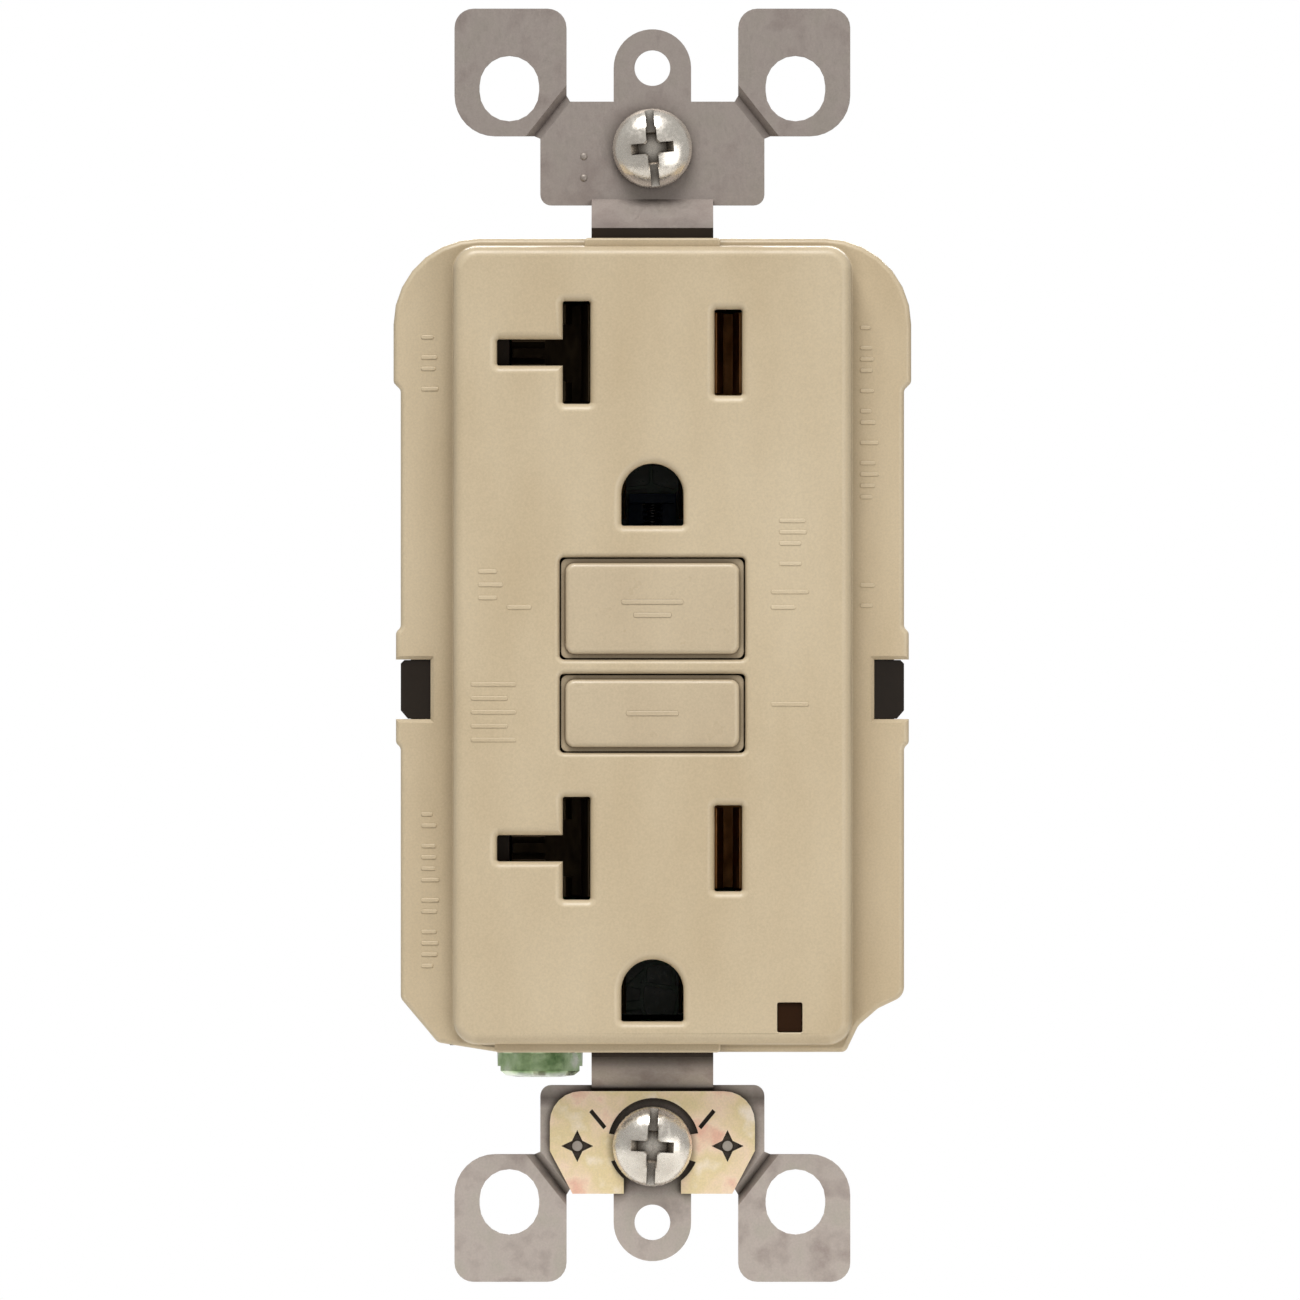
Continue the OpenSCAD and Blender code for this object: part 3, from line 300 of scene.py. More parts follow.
# The strap's plating has painted shade toward its top and the painted shadow bands above
ZINC = metal("zinc_plated_strap", [(167, 154, 147), (191, 180, 172), (185, 177, 166)], 0.5, 0.42, (1, 1, 0.5),
             0.0015, edge=-26, shine=0.5, painted_shade=0.95, painted_top_shade=0.6, reach=2.0, bands=STRAP_PAINTED_SHADE)
SCREW = metal("bright_zinc_screw", [(206, 197, 186), (232, 226, 216)], 0.25, 0.5, (1, 0.3, 1), 0.001,
              edge=14, shine=0.85, painted_shade=0.9)
CHROMATE = metal("yellow_chromate", [(242, 194, 170), (252, 226, 197), (238, 218, 170), (255, 240, 220)],
                 0.42, 0.34, edge=12, shine=0.3, painted_shade=0.8)
GREEN = metal("green_dyed_zinc", [(96, 134, 76), (178, 206, 152), (206, 228, 184), (244, 248, 232)],
              0.14, 0.5, (1, 1, 0.4), 0.001, shine=0.8, painted_shade=0.9)
BRASS = metal("stamped_brass", [(188, 142, 70), (214, 172, 96)], 0.3, 0.3, ROLLED)
# A darker, redder brass, for the hot contact bar
DARK_BRASS = metal("darker_stamped_brass", [(172, 114, 62), (208, 150, 94)], 0.42, 0.3, ROLLED, edge=10, shine=0.9)
NICKEL = metal("nickel_plated_brass", [(170, 166, 158), (196, 192, 184)], 0.28, 0.3, ROLLED)
# A darker copy of the nickel-plated brass with painted shade, for the neutral contact bar seen inside the slots
SHADED_NICKEL = metal("shaded_nickel_plated_brass", [(70, 56, 38), (98, 82, 60)], 0.5, 0.3, ROLLED, edge=10, shine=0.8)
SILVER = metal("silver_contact", [(206, 204, 198), (226, 225, 220)], 0.3, 1.0)
STEEL = metal("spring_steel_wire", [(120, 121, 124), (156, 157, 160)], 0.3, 0.8)
COPPER = winding("enamelled_copper", (202, 112, 56), (150, 72, 30))
DARK_COPPER = winding("dark_enamelled_copper", (150, 66, 30), (104, 40, 18))
BOARD = board("green_circuit_board")
SOLDER = metal("solder", [(150, 150, 148), (196, 196, 192)], 0.35, 1.5)


# ---------- Outlines ----------


def corners(points, steps):
    """A polygon of (x, z, radius), each corner rounded to its radius."""
    out = []
    for i, (x, z, r) in enumerate(points):
        p = Vector((x, z))
        if r <= 0:
            out.append(p)
            continue
        u = (Vector(points[i - 1][:2]) - p).normalized()
        v = (Vector(points[(i + 1) % len(points)][:2]) - p).normalized()
        half = math.acos(max(-1, min(1, u.dot(v)))) / 2
        centre = p + (u + v).normalized() * (r / math.sin(half))
        start = p + u * (r / math.tan(half)) - centre
        end = p + v * (r / math.tan(half)) - centre
        a = math.atan2(start.y, start.x)
        turn = (math.atan2(end.y, end.x) - a + math.pi) % (2 * math.pi) - math.pi
        for k in range(steps + 1):
            t = a + turn * k / steps
            out.append(centre + Vector((math.cos(t), math.sin(t))) * r)
    return out


def box_outline(x, z, r, steps):
    """A rectangle with rounded corners."""
    return corners([(x[1], z[0], r), (x[1], z[1], r), (x[0], z[1], r), (x[0], z[0], r)], steps)


def circle(r, x, z, steps=36):
    return [Vector((x + r * math.cos(2 * math.pi * k / steps), z + r * math.sin(2 * math.pi * k / steps)))
            for k in range(steps)]


def inset(loop, d):
    """The loop moved in by d, or out if d is negative. Loops run anticlockwise."""
    out = []
    for i, p in enumerate(loop):
        a = (p - loop[i - 1]).normalized()
        b = (loop[(i + 1) % len(loop)] - p).normalized()
        m = Vector((-a.y - b.y, a.x + b.x))
        out.append(p + m * (d / (1 + a.dot(b))))
    return out


class Shell:
    """A closed mesh made of rings at set depths, walls between rings and flat caps with holes."""

    def __init__(self):
        self.verts = []
        self.faces = []

    def ring(self, loop, y):
        start = len(self.verts)
        self.verts += [(p.x, y, p.y) for p in loop]
        return list(range(start, len(self.verts)))

    def wall(self, *rings):
        for a, b in zip(rings, rings[1:]):
            n = len(a)
            self.faces += [(a[i], a[(i + 1) % n], b[(i + 1) % n], b[i]) for i in range(n)]

    def cap(self, *rings):
        flat = [i for ring in rings for i in ring]
        loops = [[Vector((self.verts[i][0], self.verts[i][2], 0)) for i in ring] for ring in rings]
        self.faces += [tuple(flat[k] for k in t) for t in geometry.tessellate_polygon(loops)]

    def lip(self, loop, y, r, outward=False, back=False, steps=4):
        """Rings round a rounded edge, from the flat at y to the wall. outward is for the edge of a hole."""
        side = -1 if outward else 1
        step = -1 if back else 1
        rings = []
        for k in range(steps + 1):
            a = math.pi / 2 * k / steps
            inner = inset(loop, side * r * (1 - math.sin(a)))
            rings.append(self.ring(inner, y + step * r * (1 - math.cos(a))))
        self.wall(*rings)
        return rings[0], rings[-1]

    def slab(self, loop, y, r, holes=(), steps=3):
        """A plate with rounded edges between y[0] and y[1], with rounded holes through it."""
        front, front_wall = self.lip(loop, y[0], r, steps=steps)
        back, back_wall = self.lip(loop, y[1], r, back=True, steps=steps)
        self.wall(front_wall, back_wall)
        fronts, backs = [front], [back]
        for hole in holes:
            a, a_wall = self.lip(hole, y[0], r, True, steps=steps)
            b, b_wall = self.lip(hole, y[1], r, True, True, steps=steps)
            self.wall(a_wall, b_wall)
            fronts.append(a)
            backs.append(b)
        self.cap(*fronts)
        self.cap(*backs)

    def turned(self, rings, steps):
        """Rings round Y from (radius, y) pairs. A radius may be a function of the angle."""
        made = []
        for r, y in rings:
            loop = []
            for k in range(steps):
                a = 2 * math.pi * k / steps
                rr = r(a) if callable(r) else r
                loop.append(Vector((rr * math.cos(a), rr * math.sin(a))))
            made.append(self.ring(loop, y))
        return made

    def spin(self, rings, steps):
        """A solid round Y through such rings."""
        made = self.turned(rings, steps)
        self.wall(*made)
        self.faces.append(tuple(made[0]))
        self.faces.append(tuple(made[-1]))

    def build(self, name):
        mesh = bpy.data.meshes.new(name)
        mesh.from_pydata([Vector(v) * MM for v in self.verts], [], self.faces)
        bm = bmesh.new()
        bm.from_mesh(mesh)
        bmesh.ops.remove_doubles(bm, verts=bm.verts, dist=1e-7)
        bmesh.ops.recalc_face_normals(bm, faces=bm.faces)
        bm.to_mesh(mesh)
        bm.free()
        obj = bpy.data.objects.new(name, mesh)
        bpy.context.scene.collection.objects.link(obj)
        return obj


def block(x, y, z, r, name="block"):
    """A rounded block."""
    shell = Shell()
    shell.slab(box_outline(x, z, min(r * 1.5, (x[1] - x[0]) / 2.2, (z[1] - z[0]) / 2.2), 3), y, r)
    return shell.build(name)


def tube(points, r, name, sides):
    """A closed round wire along points."""
    shell = Shell()
    rings = []
    n = len(points)
    side = Vector((0, 0, 1))
    for i, p in enumerate(points):
        ahead = (points[min(i + 1, n - 1)] - points[max(i - 1, 0)]).normalized()
        if abs(ahead.dot(side)) > 0.95:
            side = Vector((1, 0, 0))
        u = ahead.cross(side).normalized()
        side = u.cross(ahead).normalized()
        start = len(shell.verts)
        for k in range(sides):
            a = 2 * math.pi * k / sides
            q = p + (u * math.cos(a) + side * math.sin(a)) * r
            shell.verts.append(tuple(q))
        rings.append(list(range(start, start + sides)))
    shell.wall(*rings)
    shell.faces.append(tuple(rings[0]))
    shell.faces.append(tuple(rings[-1]))
    return shell.build(name)


# ---------- Making pieces ----------

FLAT_AREA = 0.6  # square millimetres of flat that keep a corner from counting as worn
FULL_WEAR = 0.35  # the fold, in radians, that counts as fully worn


def move(obj, matrix):
    """Moves a mesh's vertices by a matrix given in millimetres."""
    m = matrix.copy()
    m.translation = m.translation * MM
    obj.data.transform(m)
    if m.determinant() < 0:
        obj.data.flip_normals()


def apply_modifiers(obj):
    bpy.context.view_layer.update()
    dg = bpy.context.evaluated_depsgraph_get()
    mesh = bpy.data.meshes.new_from_object(obj.evaluated_get(dg), preserve_all_data_layers=True, depsgraph=dg)
    old = obj.data
    obj.modifiers.clear()
    obj.data = mesh
    bpy.data.meshes.remove(old)


def boolean(obj, others, operation="DIFFERENCE"):
    """Cuts others from obj, or joins them to it, and removes them."""
    for other in others:
        mod = obj.modifiers.new("bool", "BOOLEAN")
        mod.operation = operation
        mod.solver = "EXACT"
        mod.object = other
        apply_modifiers(obj)
        mesh = other.data
        bpy.data.objects.remove(other)
        bpy.data.meshes.remove(mesh)
    return obj


def join(obj, others):
    """Puts other meshes into obj as they are."""
    bm = bmesh.new()
    bm.from_mesh(obj.data)
    for other in others:
        bm.from_mesh(other.data)
        bpy.data.objects.remove(other)
    bm.to_mesh(obj.data)
    bm.free()
    return obj


def flat_regions(bm):
    """The area of the flat region each face belongs to."""
    area = [0.0] * len(bm.faces)
    done = set()
    for seed in bm.faces:
        if seed.index in done:
            continue
        group, stack = [], [seed]
        done.add(seed.index)
        while stack:
            face = stack.pop()
            group.append(face)
            for edge in face.edges:
                for other in edge.link_faces:
                    if other.index not in done and other.normal.dot(seed.normal) > 0.99999:
                        done.add(other.index)
                        stack.append(other)
        total = sum(f.calc_area() for f in group) / MM ** 2
        for f in group:
            area[f.index] = total
    return area


def smooth(obj, angle=32):
    """Smooth shading that stays flat on flats: at each corner the largest flat region's normal wins."""
    bm = bmesh.new()
    bm.from_mesh(obj.data)
    bm.normal_update()
    bm.faces.index_update()
    area = flat_regions(bm)
    limit = math.cos(math.radians(angle))
    found = {}
    for vert in bm.verts:
        left = list(vert.link_faces)
        while left:
            fan, stack = [], [left.pop()]
            while stack:
                face = stack.pop()
                fan.append(face)
                for edge in face.edges:
                    if vert in edge.verts:
                        for other in edge.link_faces:
                            if other in left and other.normal.dot(face.normal) > limit:
                                left.remove(other)
                                stack.append(other)
            normal = Vector()
            for face in fan:
                normal += face.normal * (area[face.index] + 1e-4) ** 2
            for face in fan:
                found[face.index, vert.index] = normal.normalized() if normal.length > 0 else face.normal
    worn = bm.verts.layers.float.get("wear") or bm.verts.layers.float.new("wear")
    for vert in bm.verts:
        flat = max((area[face.index] for face in vert.link_faces), default=1)
        folds = [e.calc_face_angle_signed(0) for e in vert.link_edges if len(e.link_faces) == 2]
        vert[worn] = min(1, max(0, max(folds, default=0) / FULL_WEAR)) if flat < FLAT_AREA else 0
    normals = []
    for face in bm.faces:
        face.smooth = True
        normals += [found[face.index, loop.vert.index] for loop in face.loops]
    bm.to_mesh(obj.data)
    bm.free()
    obj.data.normals_split_custom_set(normals)


def detail(obj, name, body, material, slot_name, angle=32):
    """Finishes a piece that is added to the CAD nodes: material, shading and body. The slot name is not used.
    """
    obj.name = name
    obj.data.materials.clear()
    obj.data.materials.append(material)
    smooth(obj, angle)
    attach(obj, body)


def piece(obj, name, node, material, slot_name, angle=32):
    """Finishes a piece that stands for a CAD node."""
    detail(obj, name, NODE_BODY[node], material, slot_name, angle)
    obj.data.name = name
    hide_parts(node)
    return obj


def copy_node(node, name):
    """A working copy of a CAD node's mesh, welded, with flat faces joined up."""
    source = frame["nodes"][node]
    obj = bpy.data.objects.new(name, source.data.copy())
    bpy.context.scene.collection.objects.link(obj)
    bm = bmesh.new()
    bm.from_mesh(obj.data)
    bmesh.ops.remove_doubles(bm, verts=bm.verts, dist=2e-6)
    bmesh.ops.dissolve_limit(bm, angle_limit=math.radians(1), verts=bm.verts, edges=bm.edges)
    bm.to_mesh(obj.data)
    bm.free()
    return obj


def refine(node, material, width):
    """Remakes a CAD node as one mesh with its flats joined up and its edges rounded by width."""
    obj = copy_node(node, node)
    mod = obj.modifiers.new("edges", "BEVEL")
    mod.width = width * MM
    mod.segments = 2
    mod.limit_method = "ANGLE"
    mod.angle_limit = math.radians(35)
    mod.use_clamp_overlap = True
    apply_modifiers(obj)
    piece(obj, node + "_finished", node, material, SLOTS[node])


# ---------- Cover ----------

FACE_Y = -7.4
FACE_BACK_Y = -5.6
SHOULDER_Y = -2.8
SHOULDER_BACK_Y = -1.2
SKIRT_Y = 2.6
SOCKETS = (24.5, -17.0)
GROUND_DROP = 11.9
LEAD_IN = 0.7
RESET = ((-7.75, 7.75), (-1.2, 7.35))
TEST = ((-7.75, 7.75), (-9.0, -2.4))
MARK_H = 0.07


def cover_loop(d):
    """The shoulders' outline, moved in by d. Each corner keeps its own radius."""
    edge = 0.52
    side = 21.1
    wide = 21.7
    pad = 21.5
    loop = corners([
        (side, -29.4, 1.2), (side, -8.6, edge), (pad, -8.2, edge), (pad, 1.1, edge), (side, 1.5, edge),
        (side, 21.4, edge), (wide, 22.0, edge), (wide, 34.1, 7.2), (-wide, 34.1, 7.2), (-wide, 22.0, edge),
        (-side, 21.4, edge), (-side, 1.5, edge), (-pad, 1.1, edge), (-pad, -8.2, edge), (-side, -8.6, edge),
        (-side, -29.6, 0.8), (-18.0, -33.3, 0.8), (-13.0, -34.1, 0.6), (16.2, -34.1, 0.55),
        (17.25, -31.9, 1.6), (18.9, -30.45, 1.4)], 7)
    return inset(loop, d)


def cover_inner_loop():
    """The inside of the skirt, 1.5 mm in, without the outside's small steps."""
    return corners([(19.6, -28.67, 0.3), (19.6, 32.6, 5.7), (-19.6, 32.6, 5.7), (-19.6, -29.06, 0.4),
                    (-17.21, -31.91, 0.4), (-12.9, -32.6, 0.3), (15.37, -32.6, 0.3), (16.15, -30.95, 0.4),
                    (18.1, -29.45, 0.4)], 6)


def tee_loop(z):
    """The neutral slot, with its arm for a sideways blade."""
    r = 0.18
    near, far, tip = -5.2, -7.5, -13.0
    half, arm = 4.3, 1.1
    return corners([(near, z - half, r), (near, z + half, r), (far, z + half, r), (far, z + arm, 0),
                    (tip, z + arm, r), (tip, z - arm, r), (far, z - arm, 0), (far, z - half, r)], 4)


def hot_loop(z):
    return box_outline((5.2, 7.5), (z - 3.6, z + 3.6), 0.18, 4)


def ground_loop(z):
    """The ground hole of the socket whose blades are at z: a half circle over a square foot."""
    r = 2.6
    z -= GROUND_DROP
    arch = [math.pi * k / 20 for k in range(21)]
    loop = [Vector((r * math.cos(a), z + r * math.sin(a))) for a in arch]
    foot = corners([(-r, z, 0), (-r, z - r, 0.2), (r, z - r, 0.2), (r, z, 0)], 4)
    return loop + foot[1:-1]


def bar_mark(x, z, y=FACE_Y):
    """A low raised bar, in place of lettering."""
    shell = Shell()
    r = min(x[1] - x[0], z[1] - z[0]) / 2.3
    shell.slab(box_outline(x, z, r, 4), (y - MARK_H, y + 0.2), MARK_H)
    return shell.build("mark")


def make_cover():
    """The cover: raised face, shoulders, skirt, openings, notches, bosses and collars."""
    shell = Shell()
    face = box_outline((-16.65, 16.65), (-33.4, 33.4), 2.0, 8)
    front, wall = shell.lip(face, FACE_Y, 0.9, steps=6)
    draft, fillet = 0.03, 0.14
    shell.wall(wall, shell.ring(inset(face, -draft), SHOULDER_Y - fillet))
    foot = []
    for a in (0, math.pi / 6, math.pi / 3, math.pi / 2):
        out = inset(face, -draft - fillet * (1 - math.cos(a)))
        foot.append(shell.ring(out, SHOULDER_Y - fillet * (1 - math.sin(a))))
    shell.wall(*foot)
    shoulder, side = shell.lip(cover_loop(0), SHOULDER_Y, 0.45, steps=5)
    shell.cap(shoulder, foot[-1])
    rim, rim_wall = shell.lip(cover_loop(0), SKIRT_Y, 0.15, back=True, steps=2)
    shell.wall(side, rim_wall)
    inner_rim = shell.ring(cover_inner_loop(), SKIRT_Y)
    shell.cap(rim, inner_rim)
    inner_top = shell.ring(cover_inner_loop(), SHOULDER_BACK_Y)
    shell.wall(inner_rim, inner_top)
    cavity = box_outline((-15.15, 15.15), (-31.9, 31.9), 1.0, 4)
    cavity_rim = shell.ring(cavity, SHOULDER_BACK_Y)
    cavity_top = shell.ring(cavity, FACE_BACK_Y)
    shell.cap(inner_top, cavity_rim)
    shell.wall(cavity_rim, cavity_top)
    holes = []
    for z in SOCKETS:
        holes += [(tee_loop(z), LEAD_IN), (hot_loop(z), LEAD_IN), (ground_loop(z), LEAD_IN)]
    holes += [(box_outline(*RESET, 0.35, 4), 0.45), (box_outline(*TEST, 0.35, 4), 0.45),
              (box_outline((10.45, 12.55), (-32.4, -29.9), 0.15, 3), 0.12)]
    fronts, backs = [], []
    for loop, r in holes:
        a, a_wall = shell.lip(loop, FACE_Y, r, True, steps=5)
        b = shell.ring(loop, FACE_BACK_Y)
        shell.wall(a_wall, b)
        fronts.append(a)
        backs.append(b)
    shell.cap(front, *fronts)
    shell.cap(cavity_top, *backs)
    cover = shell.build("front_cover_shell")
    # The strap's ways out, then the side notches
    cuts = [cut_box((-5.3, 5.3), (-5.5, 4), (30.6, 36)), cut_box((-12.9, 5.3), (-5.1, 4), (-36, -30.9))]
    for x in ((18.6, 23), (-23, -18.6)):
        notch = [Vector((x[1], -6.2)), Vector((x[1], -1.2)), Vector((x[0], -1.2)), Vector((x[0], -6.2))]
        cuts.append(cutter([(inset(notch, -0.9), SHOULDER_Y - 0.6), (notch, SHOULDER_Y + 0.3), (notch, 4)]))
    boolean(cover, cuts)
    bosses = []
    for x, z in ((14.0, 29.6), (-14.0, 29.6), (14.0, -26.2), (-14.0, -26.2)):
        boss = Shell()
        boss.slab(circle(1.9, x, z), (FACE_BACK_Y - 0.3, 0.9), 0.1, [circle(0.95, x, z)])
        bosses.append(boss.build("boss"))
    # Collars that carry the ground holes through the strap
    for z in SOCKETS:
        hole = ground_loop(z)
        boss = Shell()
        boss.slab(inset(hole, -0.38), (FACE_BACK_Y - 0.3, -3.52), 0.08, [inset(hole, -0.02)])
        bosses.append(boss.build("collar"))
    # Brows that carry the shoulder across the strap's ways out
    bosses.append(block((-5.7, 5.7), (-6.2, -5.52), (32.9, 34.1), 0.2))
    bosses.append(block((-13.2, 5.7), (-6.2, -5.12), (-34.1, -32.9), 0.2))
    join(cover, bosses)
    piece(cover, "cover", "front_cover", IVORY, "ivory_plastic")


def make_cover_marks():
    """Low bars where the cover has raised lettering, all of them unreadable."""
    marks = [bar_mark((9.9, 13.1), (4.3, 4.65)), bar_mark((9.9, 12.0), (3.0, 3.35)),
             bar_mark((9.9, 13.1), (-5.1, -4.75)), bar_mark((-12.2, -10.1), (3.0, 3.35))]
    for k in range(5):
        marks.append(bar_mark((-15.2, -11.4 - 0.7 * (k % 2)), (-3.45 - 1.16 * k, -3.1 - 1.16 * k)))
    for k in range(3):
        marks.append(bar_mark((-14.6, -13.0 + 0.5 * (k % 2)), (6.0 - 1.1 * k, 6.35 - 1.1 * k)))
    # Short bars stacked in columns of (left side, width, top, bottom, plane), each length from a seeded draw
    draw = random.Random(7)
    columns = [(10.6, 3.2, 10.6, 6.6, FACE_Y), (17.4, 1.6, 26.8, 12.6, SHOULDER_Y),
               (17.4, 1.6, 5.2, 2.4, SHOULDER_Y), (-19.4, 1.7, 26.0, 20.2, SHOULDER_Y),
               (-19.4, 1.7, -14.0, -27.6, SHOULDER_Y)]
    for x, wide, high, low, y in columns:
        z = high
        while z > low:
            marks.append(bar_mark((x, x + wide * draw.uniform(0.55, 1)), (z - 0.34, z), y))
            z -= draw.choice([0.95, 0.95, 1.7])
    detail(join(marks[0], marks[1:]), "cover_raised_marks", "housing", IVORY, "ivory_plastic")


def make_button(node, hole, marks, boss_r, boss_y):
    """A button cap with softened edges, its hidden lip and the boss or stem behind it."""
    x, z = hole
    gap = 0.45
    mid = (z[0] + z[1]) / 2
    half = (z[1] - z[0]) / 2 - gap
    shell = Shell()
    cap_loop = box_outline((x[0] + gap, x[1] - gap), (mid - half, mid + half), 0.8, 6)
    top = FACE_Y - 0.2
    crown, rim = shell.lip(cap_loop, top + 0.05, 0.45, steps=5)
    slope = 1.1  # the width of the slope between the rim and the crown
    crown_loop = box_outline((x[0] + gap + slope, x[1] - gap - slope),
                             (mid - half + slope, mid + half - slope), 0.3, 6)
    inner = shell.ring(crown_loop, top)
    shell.wall(inner, crown)
    shell.cap(inner)
    step_loop = box_outline((x[0] + 0.12, x[1] - 0.12), (z[0] + 0.12, z[1] - 0.12), 0.5, 6)
    step = shell.ring(cap_loop, FACE_Y + 0.5)
    edge = shell.ring(step_loop, FACE_Y + 0.5)
    foot = shell.ring(step_loop, -5.2)
    shell.wall(rim, step, edge, foot)
    shell.cap(foot)
    button = shell.build("cap")
    lip = block((x[0] - 0.4, x[1] + 0.4), (FACE_BACK_Y + 0.1, FACE_BACK_Y + 0.9),
                (mid - half + 0.2, mid + half - 0.2), 0.1)
    post = Shell()
    post.slab(circle(boss_r, 0, mid, 40), boss_y, 0.15)
    boolean(button, [lip, post.build("post")], "UNION")
    piece(button, node + "_cap", node, IVORY_KEY, "ivory_plastic")
    bars = [bar_mark(mx, (mid + mz[0], mid + mz[1]), top) for mx, mz in marks]
    bars = join(bars[0], bars[1:])
    detail(bars, node + "_raised_marks", NODE_BODY[node], IVORY_KEY, "ivory_plastic")


# ---------- Screws ----------

PITCH = 0.794  # 32 threads to the inch


def thread(r, depth, pitch):
    """The radius of a thread as a function of the angle, for a ring at y."""

    def at(y):
        def radius(a):
            t = (y / pitch - a / (2 * math.pi)) % 1.0
            ramp = min(1.0, max(0.0, 1.6 * abs(2 * t - 1) - 0.3))
            return r - depth * (1 - ramp)

        return radius

    return at


def screw_rings(head, seat, shank_r, length, pitch, plain, depth=0.32):
    """Rings for a screw: its head's profile, then a threaded shank with a tapered tip."""
    at = thread(shank_r, depth, pitch)
    rings = list(head)
    rings.append((shank_r - depth / 2, seat + plain * 0.4))
    step = pitch / 7
    y = seat + plain
    while y < seat + length - 0.7:
        rings.append((at(y), y))
        y += step
    rings.append((shank_r - depth, seat + length - 0.6))
    rings.append((shank_r - depth - 0.35, seat + length))
    return rings


def cutter(rings):
    """A closed solid through (outline, y) pairs, to cut with."""
    shell = Shell()
    made = [shell.ring(loop, y) for loop, y in rings]
    shell.wall(*made)
    shell.cap(made[0])
    shell.cap(made[-1])
    return shell.build("cutter")


def cut_box(x, y, z):
    """A sharp-edged block to cut with."""
    loop = [Vector((x[1], z[0])), Vector((x[1], z[1])), Vector((x[0], z[1])), Vector((x[0], z[0]))]
    return cutter([(loop, y[0]), (loop, y[1])])


def cross_loop(half, w):
    """The outline of a cross recess, whose arms are half long and w to each side, with webs between."""
    web = w * 0.55
    quarter = [Vector((w + web, w)), Vector((w, w + web)), Vector((w, half)), Vector((-w, half))]
    out = []
    for k in range(4):
        spin = Matrix.Rotation(math.pi / 2 * k, 2)
        out += [spin @ p for p in quarter]
    return out


def recess(y, turn, slot, cross, z=0):
    """Cutters for a combination recess. slot is width, length and depth; cross is reach, width and depth."""
    spin = Matrix.Translation((0, 0, z)) @ Matrix.Rotation(math.radians(turn), 4, "Y")
    half, w, deep = cross
    cuts = [cut_box((-slot[0] / 2, slot[0] / 2), (y - 1, y + slot[2]), (-slot[1] / 2, slot[1] / 2)),
            cutter([(cross_loop(half + 0.35, w / 2 + 0.08), y - 0.5), (cross_loop(half, w / 2), y),
                    (cross_loop(half * 0.62, w / 2 - 0.1), y + deep)])]
    for c in cuts:
        move(c, spin)
    return cuts


def dome(r, rim_y, top_y, top_r=0.4):
    """Rings of a domed head from its top to its rim."""
    steps = 7
    out = []
    for k in range(steps + 1):
        a = math.pi / 2 * k / steps
        out.append((top_r + (r - top_r) * math.sin(a), top_y + (rim_y - top_y) * (1 - math.cos(a))))
    return out


def make_box_screw(node, z, seat, turn):
    """A long screw at height z, its head resting at depth seat and turned by turn degrees."""
    lo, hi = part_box(node)
    r = (hi.x - lo.x) / 2 / MM
    top = lo.y / MM
    length = hi.y / MM - seat
    head = dome(r, seat - 0.75, top) + [(r - 0.03, seat - 0.2), (r - 0.2, seat)]
    shell = Shell()
    shell.spin(screw_rings(head, seat, 1.74, length, PITCH, 1.4), 44)
    obj = shell.build(node)
    move(obj, Matrix.Translation((0, 0, z)))
    boolean(obj, recess(top, turn, (0.72, 8, 1.15), (1.9, 0.92, 1.5), z))
    piece(obj, node + "_threaded", node, SCREW, "screw_steel")


def make_terminal_screw(node, material, slot_name):
    """A side screw, whose box says which side it is on."""
    lo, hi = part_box(node)
    side = 1 if hi.x > 0 else -1
    outer = max(abs(lo.x), abs(hi.x)) / MM
    inner = min(abs(lo.x), abs(hi.x)) / MM
    y, z = (lo.y + hi.y) / 2 / MM, (lo.z + hi.z) / 2 / MM
    head_h = 2.15
    seat = -outer + head_h
    head = dome(4.1, seat - 1.5, -outer, 3.2) + [(4.1, seat - 0.2), (3.95, seat)]
    shell = Shell()
    shell.spin(screw_rings(head, seat, 2.0, outer - head_h - inner, PITCH, 0.5), 40)
    obj = shell.build(node)
    cuts = recess(-outer, 0, (0.95, 9, 0.85), (2.2, 1.1, 1.15))
    boolean(obj, cuts)
    turn = Matrix.Rotation(math.radians(90 * side), 4, "Z")
    move(obj, Matrix.Translation((0, y, z)) @ turn)
    piece(obj, node + "_threaded", node, material, slot_name)


def make_ground_screw():
    """The green hexagon screw, which points up."""
    lo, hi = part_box("ground_screw")
    x, y = (lo.x + hi.x) / 2 / MM, (lo.y + hi.y) / 2 / MM
    top, tip = lo.z / MM, hi.z / MM
    seat = top + 2.35
    shell = Shell()
    at = thread(2.0, 0.3, PITCH)

    def hexagon(r):
        """A radius of r cut to a hexagon 6.26 mm across its flats."""
        return lambda a: min(r, 3.13 / math.cos((a % (math.pi / 3)) - math.pi / 6))

    rings = [(1.9, top), (hexagon(2.9), top + 0.12), (hexagon(3.55), top + 0.5), (hexagon(3.6), seat - 0.35),
             (3.45, seat), (1.8, seat + 0.02)]
    step = PITCH / 6
    k = seat + 0.1
    while k < tip - 0.4:
        rings.append((at(k), k))
        k += step
    rings += [(1.6, tip - 0.3), (1.3, tip)]
    shell.spin(rings, 48)
    obj = shell.build("ground_screw")
    boolean(obj, [cut_box((-5, 5), (top - 1, top + 0.9), (-0.5, 0.5))])
    upright = Matrix.Rotation(math.radians(90), 4, "X") @ Matrix.Scale(-1, 4, (0, 0, 1))
    move(obj, Matrix.Translation((x, y, 0)) @ upright)
    piece(obj, "ground_screw_threaded", "ground_screw", GREEN, "green_steel")


